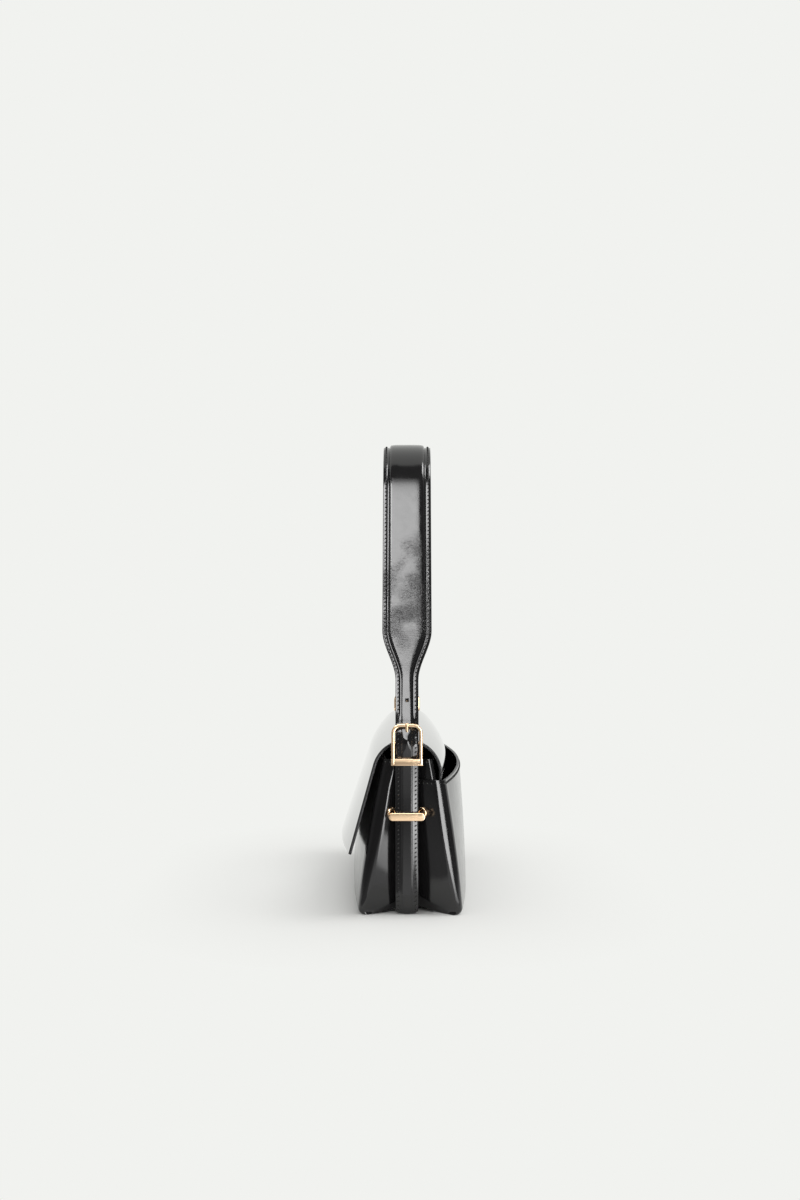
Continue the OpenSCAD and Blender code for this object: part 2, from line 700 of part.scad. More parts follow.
// Washers round the posts: one on the gusset, and one on the pocket that covers its back half
module keeper_washers(side) {
  color(gold) on_side(side) on_gusset(keeper_z) for (y = [-1, 1])
    translate([y > 0 ? pocket_t : 0, y * post_gap / 2, 0]) rotate([0, 90, 0]) difference() {
      cylinder(d = washer_d, h = washer_t);
      translate([0, 0, -1]) cylinder(r = post_d / 2 + running, h = washer_t + 2);
    }
}

// Plate inside the bag that the posts are riveted to
module keeper_plate(side) {
  color(gold) on_side(side) on_gusset(keeper_z)
    translate([-wall_t - lining_t - washer_t, 0, 0]) rotate([90, 0, 90]) linear_extrude(washer_t)
      square([post_gap + washer_d, washer_d], center = true);
}

front_panel();
back_panel();
base_panel();
gusset(1);  // gusset_right
gusset(-1);  // gusset_left
back_pocket();
base_board();
lining_front();
lining_back();
lining_gusset(1);  // lining_gusset_right
lining_gusset(-1);  // lining_gusset_left
lining_base();
inner_pocket();
flap_back();
flap_top();
flap_top_lining();
flap_front();
flap_front_lining();
snap_socket();
snap_socket_washer();
snap_stud();
snap_stud_washer();
strap_outer();
strap_padding();
strap_lining();
strap_tail(1);  // strap_tail_right
strap_tail(-1);  // strap_tail_left
buckle_frame(1);  // buckle_frame_right
buckle_frame(-1);  // buckle_frame_left
buckle_bar(1);  // buckle_bar_right
buckle_bar(-1);  // buckle_bar_left
prong(1);  // prong_right
prong(-1);  // prong_left
buckle_loop(1);  // buckle_loop_right
buckle_loop(-1);  // buckle_loop_left
keeper_bar(1);  // keeper_bar_right
keeper_bar(-1);  // keeper_bar_left
keeper_washers(1);  // keeper_washers_right
keeper_washers(-1);  // keeper_washers_left
keeper_plate(1);  // keeper_plate_right
keeper_plate(-1);  // keeper_plate_left
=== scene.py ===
"""Dress a black leather baguette bag: folded body, flap, padded strap and pale gold fittings.

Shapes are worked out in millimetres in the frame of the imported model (+X along the bag,
-Y the flap's front, +Z up) and made into meshes in metres.
"""
from __future__ import annotations

import logging
import math
from contextlib import contextmanager
from dataclasses import dataclass, field
from enum import Enum
from typing import Callable, Iterable, Iterator, Sequence

import bmesh
import bpy
import numpy as np
from mathutils import Matrix, Vector


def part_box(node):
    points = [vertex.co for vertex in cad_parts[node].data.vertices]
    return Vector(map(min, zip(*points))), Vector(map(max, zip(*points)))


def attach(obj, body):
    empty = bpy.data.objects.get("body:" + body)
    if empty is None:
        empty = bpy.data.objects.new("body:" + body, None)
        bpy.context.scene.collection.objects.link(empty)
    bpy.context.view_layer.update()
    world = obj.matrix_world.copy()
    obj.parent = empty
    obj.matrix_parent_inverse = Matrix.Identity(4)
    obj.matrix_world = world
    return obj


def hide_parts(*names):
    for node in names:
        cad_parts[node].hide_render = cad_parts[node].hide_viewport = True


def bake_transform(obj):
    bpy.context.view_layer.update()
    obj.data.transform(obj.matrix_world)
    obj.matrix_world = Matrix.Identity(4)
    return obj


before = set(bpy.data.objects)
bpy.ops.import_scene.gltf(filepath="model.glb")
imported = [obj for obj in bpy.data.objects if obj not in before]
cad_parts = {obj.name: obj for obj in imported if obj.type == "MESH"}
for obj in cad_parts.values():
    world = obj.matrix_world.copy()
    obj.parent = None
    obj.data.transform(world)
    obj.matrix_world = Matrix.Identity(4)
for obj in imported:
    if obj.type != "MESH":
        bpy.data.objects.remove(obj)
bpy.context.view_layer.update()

log = logging.getLogger("baguette_bag")
MM = 0.001
Points = np.ndarray


class BodyName(str, Enum):
    """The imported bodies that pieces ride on."""

    ROOT = "root"
    BEND = "flap_bend"
    DROP = "flap_drop"
    STRAP = "strap"
    PRONG_R = "prong_r"
    PRONG_L = "prong_l"


class Slot(str, Enum):
    """The record's material slots."""

    LEATHER = "leather"
    FLAP = "flap_leather"
    STRAP = "strap_leather"
    LINING = "lining"
    GOLD = "gold"
    SNAP = "snap_metal"
    BOARD = "board"
    PADDING = "padding"


# Node-tree helpers


class NodeMaker:
    """Adds nodes to one tree with their properties, values and links."""

    def __init__(self, tree: bpy.types.NodeTree) -> None:
        """Work on a tree.

        Args:
            tree: the node tree.
        """
        self.tree = tree

    def node(self, kind: str, **settings: object) -> bpy.types.Node:
        """Add a node.

        Args:
            kind: the node's type name.
            settings: properties, or inputs given as in_NAME or in_NUMBER, with spaces as
                underscores; an input is a value, or a socket to be joined to it.

        Returns:
            The new node.
        """
        made = self.tree.nodes.new(kind)
        for key, value in settings.items():
            if not key.startswith("in_"):
                setattr(made, key, value)
                continue
            name = key[3:]
            socket = made.inputs[int(name) if name.isdigit() else name.replace("_", " ")]
            if isinstance(value, bpy.types.NodeSocket):
                self.tree.links.new(value, socket)
            else:
                socket.default_value = value
        return made


class Shader(NodeMaker):
    """A small builder round one material's node tree."""

    def __init__(self, name: str) -> None:
        """Start an empty node material.

        Args:
            name: the material's name.
        """
        self.material = bpy.data.materials.new(name)
        self.material.use_nodes = True
        super().__init__(self.material.node_tree)
        self.tree.nodes.clear()
        self.output = self.node("ShaderNodeOutputMaterial")
        self.coords = self.node("ShaderNodeTexCoord").outputs["Object"]

    def scaled(self, scale: Sequence[float]) -> bpy.types.NodeSocket:
        """Object coordinates stretched by a scale on each axis."""
        made = self.node("ShaderNodeMapping", in_Scale=tuple(scale), in_Vector=self.coords)
        return made.outputs["Vector"]

    def noise(self, scale: float, detail: float = 2.0, vector: bpy.types.NodeSocket | None = None,
              rough: float = 0.5) -> bpy.types.NodeSocket:
        """A noise texture's factor on object coordinates.

        Args:
            scale: the texture's scale.
            detail: its number of octaves.
            vector: coordinates other than the object ones.
            rough: how strong the fine octaves are.

        Returns:
            The factor.
        """
        made = self.node("ShaderNodeTexNoise", in_Scale=scale, in_Detail=detail,
                         in_Roughness=rough, in_Vector=vector or self.coords)
        return made.outputs["Fac"]

    def cells(self, scale: float) -> bpy.types.NodeSocket:
        """Distance to the edges of Voronoi cells, for leather pores.

        Args:
            scale: the texture's scale.

        Returns:
            The distance.
        """
        made = self.node("ShaderNodeTexVoronoi", feature="DISTANCE_TO_EDGE", in_Scale=scale,
                         in_Vector=self.coords)
        return made.outputs["Distance"]

    def ranged(self, value: bpy.types.NodeSocket, low: float, high: float,
               start: float = 0.0, end: float = 1.0) -> bpy.types.NodeSocket:
        """Map a value from start-end to low-high, clamped.

        Args:
            value: the value.
            low: the result at start.
            high: the result at end.
            start: where the range starts.
            end: where it ends.

        Returns:
            The mapped value.
        """
        made = self.node("ShaderNodeMapRange", in_Value=value, in_1=start, in_2=end, in_3=low,
                         in_4=high)
        return made.outputs["Result"]

    def maths(self, operation: str, a: bpy.types.NodeSocket,
              b: bpy.types.NodeSocket | float) -> bpy.types.NodeSocket:
        """One sum on two values."""
        return self.node("ShaderNodeMath", operation=operation, in_0=a, in_1=b).outputs["Value"]

    def vector(self, operation: str, a: bpy.types.NodeSocket,
               b: Sequence[float] = (0.0, 0.0, 0.0)) -> bpy.types.NodeSocket:
        """One sum on a vector and a fixed vector; a length comes out as a value."""
        made = self.node("ShaderNodeVectorMath", operation=operation, in_0=a, in_1=b)
        return made.outputs["Value" if operation == "LENGTH" else "Vector"]

    def blended(self, factor: bpy.types.NodeSocket, a: Sequence[float],
                b: Sequence[float]) -> bpy.types.NodeSocket:
        """A colour between a and b.

        Args:
            factor: 0 for a, 1 for b.
            a: the first colour.
            b: the second colour.

        Returns:
            The colour.
        """
        made = self.node("ShaderNodeMix", data_type="RGBA", in_0=factor, in_6=(*a, 1.0),
                         in_7=(*b, 1.0))
        return made.outputs[2]

    def bumped(self, height: bpy.types.NodeSocket, strength: float, distance: float,
               below: bpy.types.NodeSocket | None = None) -> bpy.types.NodeSocket:
        """A bump normal, laid over another normal if one is given.

        Args:
            height: the height that makes the bumps.
            strength: the bump's strength.
            distance: its depth in metres.
            below: the normal that it lies on.

        Returns:
            The normal.
        """
        under = {"in_Normal": below} if below else {}
        made = self.node("ShaderNodeBump", in_Strength=strength, in_Distance=distance,
                         in_Height=height, **under)
        return made.outputs["Normal"]

    def finished(self, kind: str, **settings: object) -> bpy.types.Material:
        """Add the last shader node, join it to the output and give the material.

        Args:
            kind: the shader node's type name.
            settings: its properties and inputs, as for node.

        Returns:
            The finished material.
        """
        made = self.node(kind, **settings)
        self.tree.links.new(made.outputs[0], self.output.inputs["Surface"])
        return self.material

    def surface(self, **settings: object) -> bpy.types.Material:
        """Finish the material with the principled shader."""
        return self.finished("ShaderNodeBsdfPrincipled", **settings)


@dataclass(frozen=True)
class BoxCalf:
    """Polished black calf: near-mirror, with soft unevenness and a very fine grain."""

    name: str
    colour: tuple[float, float, float] = (0.0075, 0.0072, 0.0078)
    worn: tuple[float, float, float] = (0.012, 0.0115, 0.012)
    polish: tuple[float, float] = (0.09, 0.16)
    unevenness: float = 0.22
    grain: float = 0.07
    creases: float = 0.0
    crease_scale: tuple[float, float, float] = (420.0, 260.0, 1300.0)
    crease_rise: tuple[float, float] = (0.155, 0.195)
    crease_fade: tuple[float, float] = (0.245, 0.27)
    gloss: float = 1.58
    glaze: float = 0.0

    def creased(self, s: Shader, below: bpy.types.NodeSocket) -> bpy.types.NodeSocket:
        """Fine creases across the strap, in patches between two heights.

        Args:
            s: the material's builder.
            below: the normal that the creases lie on.

        Returns:
            The normal with the creases.
        """
        across = s.noise(1.0, 5.0, s.scaled(self.crease_scale), 0.6)
        height = s.node("ShaderNodeSeparateXYZ", in_0=s.coords).outputs["Z"]
        rise = s.ranged(height, 0.0, 1.0, *self.crease_rise)
        fade = s.ranged(height, 1.0, 0.0, *self.crease_fade)
        spots = s.ranged(s.noise(45.0, 1.0), 0.2, 1.0, 0.4, 0.6)
        patch = s.maths("MULTIPLY", s.maths("MULTIPLY", rise, fade), spots)
        return s.bumped(s.maths("MULTIPLY", across, patch), self.creases, 0.00035, below)

    def build(self) -> bpy.types.Material:
        """Make the node material.

        Returns:
            The material.
        """
        s = Shader(self.name)
        normal = s.bumped(s.noise(26.0, 1.0), self.unevenness, 0.0012)
        if self.creases:
            normal = self.creased(s, normal)
        return s.surface(
            in_Specular_IOR_Level=0.5, in_IOR=self.gloss, in_Coat_Weight=self.glaze,
            in_Coat_Roughness=0.03, in_Coat_IOR=1.5,
            in_Base_Color=s.blended(s.noise(42.0, 3.0), self.colour, self.worn),
            in_Roughness=s.ranged(s.noise(160.0, 4.0), *self.polish, 0.3, 0.75),
            in_Normal=s.bumped(s.cells(2600.0), self.grain, 0.0001, normal))


@dataclass(frozen=True)
class EdgePaint:
    """Black paint on cut leather edges: satin, slightly lumpy."""

    name: str = "edge_paint"

    def build(self) -> bpy.types.Material:
        """Make the node material.

        Returns:
            The material.
        """
        s = Shader(self.name)
        return s.surface(
            in_Specular_IOR_Level=0.45,
            in_Base_Color=s.blended(s.noise(300.0), (0.008, 0.008, 0.009), (0.02, 0.02, 0.021)),
            in_Roughness=s.ranged(s.noise(500.0), 0.28, 0.5),
            in_Normal=s.bumped(s.noise(700.0, 2.0), 0.25, 0.0002))


@dataclass(frozen=True)
class LiningLeather:
    """Matt black lining with a fine napped grain."""

    name: str = "lining_leather"

    def build(self) -> bpy.types.Material:
        """Make the node material.

        Returns:
            The material.
        """
        s = Shader(self.name)
        return s.surface(
            in_Specular_IOR_Level=0.3, in_Sheen_Weight=0.15, in_Sheen_Roughness=0.5,
            in_Base_Color=s.blended(s.noise(220.0, 5.0), (0.012, 0.011, 0.011),
                                    (0.028, 0.026, 0.025)),
            in_Roughness=s.ranged(s.noise(90.0), 0.55, 0.75),
            in_Normal=s.bumped(s.cells(1500.0), 0.35, 0.0002))


@dataclass(frozen=True)
class Fibrous:
    """A matt material of strands: waxed thread, the base board and the felt padding."""

    name: str
    dark: tuple[float, float, float]
    pale: tuple[float, float, float]
    specular: float = 0.2
    strands: tuple[float, float] = (900.0, 6.0)
    roughness: tuple[float, float] = (0.8, 0.95)
    bump: tuple[float, float] = (0.5, 0.0003)

    def build(self) -> bpy.types.Material:
        """Make the node material.

        Returns:
            The material.
        """
        s = Shader(self.name)
        strands = s.noise(*self.strands)
        return s.surface(in_Specular_IOR_Level=self.specular,
                         in_Base_Color=s.blended(strands, self.dark, self.pale),
                         in_Roughness=s.ranged(strands, *self.roughness),
                         in_Normal=s.bumped(strands, *self.bump))


@dataclass(frozen=True)
class PlatedMetal:
    """Polished plated metal with faint handling marks."""

    name: str
    colour: tuple[float, float, float]
    tone: tuple[float, float, float]
    polish: tuple[float, float] = (0.1, 0.22)

    def build(self) -> bpy.types.Material:
        """Make the node material.

        Returns:
            The material.
        """
        s = Shader(self.name)
        rubbed = s.noise(1.0, 3.0, s.scaled((300.0, 2600.0, 2600.0)))
        return s.surface(
            in_Metallic=1.0,
            in_Base_Color=s.blended(s.noise(120.0, 3.0), self.colour, self.tone),
            in_Roughness=s.ranged(s.noise(420.0, 5.0), *self.polish, 0.3, 0.7),
            in_Normal=s.bumped(rubbed, 0.05, 0.0001))


@dataclass
class Finishes:
    """Every material of the bag, made once."""

    leather: bpy.types.Material = field(init=False)
    flap: bpy.types.Material = field(init=False)
    strap: bpy.types.Material = field(init=False)
    edge: bpy.types.Material = field(init=False)
    lining: bpy.types.Material = field(init=False)
    thread: bpy.types.Material = field(init=False)
    gold: bpy.types.Material = field(init=False)
    snap: bpy.types.Material = field(init=False)
    board: bpy.types.Material = field(init=False)
    padding: bpy.types.Material = field(init=False)

    def __post_init__(self) -> None:
        """Build the materials."""
        for part, finish in {
                "leather": BoxCalf("body_calf"),
                "flap": BoxCalf("flap_calf", polish=(0.02, 0.06), unevenness=0.1, grain=0.02,
                                gloss=1.7, glaze=0.8),
                "strap": BoxCalf("strap_calf", unevenness=0.12, creases=0.9),
                "edge": EdgePaint(),
                "lining": LiningLeather(),
                "thread": Fibrous("waxed_thread", (0.008, 0.008, 0.008), (0.025, 0.024, 0.023),
                                  0.35, (2400.0, 1.0), (0.4, 0.6), (0.4, 0.0002)),
                "gold": PlatedMetal("pale_gold", (0.83, 0.59, 0.37), (0.88, 0.65, 0.43)),
                "snap": PlatedMetal("snap_plating", (0.7, 0.66, 0.58), (0.76, 0.72, 0.64),
                                    (0.2, 0.35)),
                "board": Fibrous("fibre_board", (0.28, 0.2, 0.13), (0.42, 0.32, 0.22)),
                "padding": Fibrous("felt_padding", (0.42, 0.39, 0.34), (0.62, 0.58, 0.52)),
        }.items():
            setattr(self, part, finish.build())


# Mesh helpers


def smoothstep(t: Points | float) -> Points | float:
    """A smooth 0 to 1 ramp, clamped."""
    c = np.clip(t, 0.0, 1.0)
    return c * c * (3.0 - 2.0 * c)


def at_height(x: Points, y: Points, z: float) -> Points:
    """Points at one height, from their places along and across the bag."""
    return np.stack([x, y, np.full_like(x, z)], axis=1)


def arc(radius: float, angles: Iterable[float]) -> list[tuple[float, float]]:
    """Points of an arc about the origin, with angles in radians."""
    return [(radius * math.cos(a), radius * math.sin(a)) for a in angles]


def route_normals(route: Points) -> Points:
    """Unit vectors square to a flat route, on its outer side.

    Args:
        route: the route's points in a plane.

    Returns:
        One unit vector for each point.
    """
    ahead = np.gradient(route, axis=0)
    out = np.stack([ahead[:, 1], -ahead[:, 0]], axis=1)
    return out / np.linalg.norm(out, axis=1, keepdims=True)


def linked(name: str, data: bpy.types.ID) -> bpy.types.Object:
    """A new object on some data, linked to the scene.

    Args:
        name: the object's name.
        data: its mesh, lamp or camera data.

    Returns:
        The new object.
    """
    made = bpy.data.objects.new(name, data)
    bpy.context.scene.collection.objects.link(made)
    return made


def new_object(name: str, verts: Points, faces: Iterable[Sequence[int]],
               materials: Sequence[bpy.types.Material]) -> bpy.types.Object:
    """Make a mesh object at the origin.

    Args:
        name: the piece's name.
        verts: points in millimetres.
        faces: lists of vertex numbers.
        materials: the piece's material slots.

    Returns:
        The object, linked to the scene and smooth shaded.
    """
    mesh = bpy.data.meshes.new(name)
    points = [tuple(p) for p in np.asarray(verts, float) * MM]
    mesh.from_pydata(points, [], [tuple(f) for f in faces])
    for material in materials:
        mesh.materials.append(material)
    mesh.polygons.foreach_set("use_smooth", [True] * len(mesh.polygons))
    return linked(name, mesh)


def applied(piece: bpy.types.Object) -> bpy.types.Object:
    """Bake a piece's modifiers into its mesh and remove them.

    Args:
        piece: the piece.

    Returns:
        The same piece with a plain mesh.
    """
    bpy.context.view_layer.update()
    graph = bpy.context.evaluated_depsgraph_get()
    mesh = bpy.data.meshes.new_from_object(piece.evaluated_get(graph), depsgraph=graph)
    piece.modifiers.clear()
    old = piece.data
    piece.data = mesh
    mesh.name = piece.name
    bpy.data.meshes.remove(old)
    return piece


@contextmanager
def reshaping(mesh: bpy.types.Mesh) -> Iterator[bmesh.types.BMesh]:
    """Edit a mesh as a BMesh, written back at the end of the with block.

    Args:
        mesh: the mesh that is changed.

    Yields:
        The BMesh, with the mesh's faces in it.
    """
    shell = bmesh.new()
    shell.from_mesh(mesh)
    yield shell
    shell.to_mesh(mesh)
    shell.free()


def face_outwards(piece: bpy.types.Object) -> None:
    """Turn every face of a closed piece outwards."""
    with reshaping(piece.data) as shell:
        bmesh.ops.recalc_face_normals(shell, faces=shell.faces)


def soften_edges(piece: bpy.types.Object, width: float, segments: int, angle: float) -> None:
    """Round a piece's edges with a bevel.

    Args:
        piece: the piece, which gets the modifier.
        width: the bevel's width in millimetres.
        segments: its number of steps.
        angle: the least angle of a rounded edge, in degrees.
    """
    soft = piece.modifiers.new("soft_edge", "BEVEL")
    soft.width = width * MM
    soft.segments = segments
    soft.limit_method = "ANGLE"
    soft.angle_limit = math.radians(angle)


def shade_fitting(piece: bpy.types.Object) -> None:
    """Shade a fitting smooth, apart from its sharp edges."""
    piece.data.polygons.foreach_set("use_smooth", [True] * len(piece.data.polygons))
    piece.data.set_sharp_from_angle(angle=math.radians(34))


def leather_sheet(name: str, grid: Points, thickness: float, finish: bpy.types.Material,
                  edge: bpy.types.Material, rounding: float = 0.35,
                  flip: bool = False) -> bpy.types.Object:
    """Make a sheet of leather from its outer face: a wall, with rounded painted edges.

    Args:
        name: the piece's name.
        grid: rows by columns of outer points in millimetres.
        thickness: the leather's thickness in millimetres.
        finish: the face's material.
        edge: the cut edge's material.
        rounding: how far the edges are rounded, in millimetres.
        flip: turn the faces over, where rows and columns wind the other way.

    Returns:
        The finished piece.
    """
    rows, cols = grid.shape[:2]
    faces = []
    for i in range(rows - 1):
        for j in range(cols - 1):
            a = i * cols + j
            quad = (a, a + 1, a + cols + 1, a + cols)
            faces.append(quad[::-1] if flip else quad)
    piece = new_object(name, grid.reshape(-1, 3), faces, (finish, edge))
    wall = piece.modifiers.new("wall", "SOLIDIFY")
    wall.thickness = thickness * MM
    wall.offset = -1.0
    wall.use_even_offset = True
    wall.material_offset_rim = 1
    soften_edges(piece, min(rounding, 0.48 * thickness), 3, 50.0)
    return applied(piece)


def swept(name: str, stations: Points, faces_material: Callable[[int], int],
          materials: Sequence[bpy.types.Material]) -> bpy.types.Object:
    """Make a closed solid from rings of points.

    Args:
        name: the piece's name.
        stations: rings by points by 3, in millimetres, each ring a closed outline.
        faces_material: the material number for each side of the ring.
        materials: the piece's material slots.

    Returns:
        The finished piece, with its two ends capped.
    """
    rings, around = stations.shape[:2]
    faces, numbers = [], []
    for a in range(0, (rings - 1) * around, around):
        for j in range(around):
            k = (j + 1) % around
            faces.append((a + j, a + k, a + around + k, a + around + j))
            numbers.append(faces_material(j))
    last = (rings - 1) * around
    faces.append(tuple(reversed(range(around))))
    faces.append(tuple(last + j for j in range(around)))
    numbers += [len(materials) - 1] * 2
    piece = new_object(name, stations.reshape(-1, 3), faces, materials)
    piece.data.polygons.foreach_set("material_index", numbers)
    face_outwards(piece)
    return piece


def smooth_route(points: Sequence[Sequence[float]], step: float) -> Points:
    """A smooth curve near a list of points, cut into even steps.

    Args:
        points: corner points in millimetres.
        step: the distance between the points of the result.

    Returns:
        The route's points.
    """
    route = np.asarray(points, float)
    for _ in range(4):
        cut = [route[0]]
        for a, b in zip(route[:-1], route[1:]):
            cut += [a * 0.75 + b * 0.25, a * 0.25 + b * 0.75]
        cut.append(route[-1])
        route = np.array(cut)
    return even_steps(route, step)


def even_steps(route: Points, step: float) -> Points:
    """Cut a fine route into even steps of about the given length.

    Args:
        route: the route's points in millimetres.
        step: the length that the steps come near.

    Returns:
        The evenly spaced points.
    """
    parts = np.linalg.norm(np.diff(route, axis=0), axis=1)
    length = np.concatenate([[0.0], np.cumsum(parts)])
    count = max(2, int(round(length[-1] / step)) + 1)
    at = np.linspace(0.0, length[-1], count)
    return np.stack([np.interp(at, length, column) for column in route.T], axis=1)


def mirrored_x(points: Points) -> Points:
    """The points on the other end of the bag.

    Args:
        points: points of the right end.

    Returns:
        The points of the left end.
    """
    out = np.array(points, float)
    out[..., 0] *= -1.0
    return out


class StitchMaker:
    """Lays stitches along seam lines with one geometry-node tree."""

    def __init__(self, thread: bpy.types.Material, pitch: float = 3.1, length: float = 1.95,
                 radius: float = 0.5, lean: float = -54.0) -> None:
        """Build the tree.

        Args:
            thread: the thread's material.
            pitch: distance from one stitch to the next, in millimetres.
            length: length of a stitch, in millimetres.
            radius: half the thread's thickness, in millimetres.
            lean: how far each stitch is turned off the seam's line, in degrees.
        """
        self.thread = thread
        self.sizes = {"Pitch": pitch * MM, "Length": length * MM, "Radius": radius * MM,
                      "Lean": math.radians(lean)}
        self.tree = self._tree()

    def _tree(self) -> bpy.types.NodeTree:
        """The node tree: resample each seam and place a stitch at every step.

        Returns:
            The finished node group.
        """
        tree = bpy.data.node_groups.new("stitches", "GeometryNodeTree")
        tree.interface.new_socket("Geometry", in_out="INPUT", socket_type="NodeSocketGeometry")
        for name in self.sizes:
            tree.interface.new_socket(name, in_out="INPUT", socket_type="NodeSocketFloat")
        tree.interface.new_socket("Geometry", in_out="OUTPUT", socket_type="NodeSocketGeometry")
        node = NodeMaker(tree).node
        given = node("NodeGroupInput").outputs
        seam = node("GeometryNodeMeshToCurve", in_Mesh=given["Geometry"]).outputs["Curve"]
        even = node("GeometryNodeResampleCurve", mode="LENGTH", in_Curve=seam,
                    in_Length=given["Pitch"]).outputs["Curve"]
        bead = node("GeometryNodeMeshUVSphere", in_Segments=8, in_Rings=6, in_Radius=1.0)
        half = node("ShaderNodeMath", operation="MULTIPLY", in_0=given["Length"], in_1=0.5)
        size = node("ShaderNodeCombineXYZ", in_X=half.outputs[0], in_Y=given["Radius"],
                    in_Z=given["Radius"])
        shaped = node("GeometryNodeTransform", in_Geometry=bead.outputs["Mesh"],
                      in_Scale=size.outputs[0])
        turn = node("ShaderNodeCombineXYZ", in_Z=given["Lean"])
        leaned = node("GeometryNodeTransform", in_Geometry=shaped.outputs["Geometry"],
                      in_Rotation=turn.outputs[0])
        along = node("FunctionNodeAlignRotationToVector", axis="X",
                     in_Vector=node("GeometryNodeInputTangent").outputs[0])
        up = node("GeometryNodeInputNamedAttribute", data_type="FLOAT_VECTOR", in_Name="up")
        upright = node("FunctionNodeAlignRotationToVector", axis="Z", pivot_axis="X",
                       in_Rotation=along.outputs["Rotation"], in_Vector=up.outputs["Attribute"])
        placed = node("GeometryNodeInstanceOnPoints", in_Points=even,
                      in_Instance=leaned.outputs["Geometry"],
                      in_Rotation=upright.outputs["Rotation"])
        real = node("GeometryNodeRealizeInstances", in_Geometry=placed.outputs["Instances"])
        smooth = node("GeometryNodeSetShadeSmooth", in_Geometry=real.outputs["Geometry"])
        dressed = node("GeometryNodeSetMaterial", in_Material=self.thread,
                       in_Geometry=smooth.outputs["Geometry"])
        node("NodeGroupOutput", in_Geometry=dressed.outputs["Geometry"])
        return tree

    def sew(self, name: str, seams: Sequence[tuple[Points, Points]]) -> bpy.types.Object:
        """Make one mesh of stitches.

        Args:
            name: the piece's name.
            seams: pairs of a seam's points and the leather's normals there, in millimetres.

        Returns:
            The stitches as a plain mesh.
        """
        points, ups, edges = [], [], []
        for seam, normals in seams:
            base = len(points)
            points += [tuple(p) for p in np.asarray(seam) * MM]
            ups += [c for v in np.asarray(normals, float) for c in v]
            edges += [(base + i, base + i + 1) for i in range(len(seam) - 1)]
        mesh = bpy.data.meshes.new(name)
        mesh.from_pydata(points, edges, [])
        mesh.attributes.new("up", "FLOAT_VECTOR", "POINT").data.foreach_set("vector", ups)
        piece = linked(name, mesh)
        modifier = piece.modifiers.new("stitches", "NODES")
        modifier.node_group = self.tree
        for item in self.tree.interface.items_tree:
            if item.in_out == "INPUT" and item.name in self.sizes:
                modifier[item.identifier] = self.sizes[item.name]
        applied(piece)
        if not piece.data.materials:
            piece.data.materials.append(self.thread)
        up = piece.data.attributes.get("up")
        if up:
            piece.data.attributes.remove(up)
        return piece


@dataclass
class Workshop:
    """What every sub-assembly needs: the finishes and the stitch maker."""

    finishes: Finishes
    stitches: StitchMaker

    def deliver(self, piece: bpy.types.Object, slot: Slot, body: BodyName,
                *nodes: str) -> bpy.types.Object:
        """Parent a finished piece to its body, hide the CAD nodes that it stands for and log it.

        Args:
            piece: the piece.
            slot: the record's material slot; not used.
            body: the body that it rides on.
            nodes: the CAD nodes that it stands for.

        Returns:
            The same piece.
        """
        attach(piece, body.value)
        if nodes:
            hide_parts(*nodes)
        log.info("%s on %s, %d faces", piece.name, body.value, len(piece.data.polygons))
        return piece

    def deliver_bent(self, piece: bpy.types.Object, slot: Slot, bodies: tuple[BodyName, BodyName],
                     start: Sequence[float], end: Sequence[float],
                     *nodes: str) -> bpy.types.Object:
        """Bake a finished piece's placement into its mesh, hide the CAD nodes that it stands for
        and log the two bodies that it lies between.

        Args:
            piece: the piece.
            slot: the record's material slot; not used.
            bodies: the bodies on each side of the bend.
            start: where the bend starts, in metres; not used.
            end: where it ends, in metres; not used.
            nodes: the CAD nodes that it stands for.

        Returns:
            The same piece.
        """
        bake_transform(piece)
        if nodes:
            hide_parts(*nodes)
        log.info("%s bends between %s and %s", piece.name, bodies[0].value, bodies[1].value)
        return piece


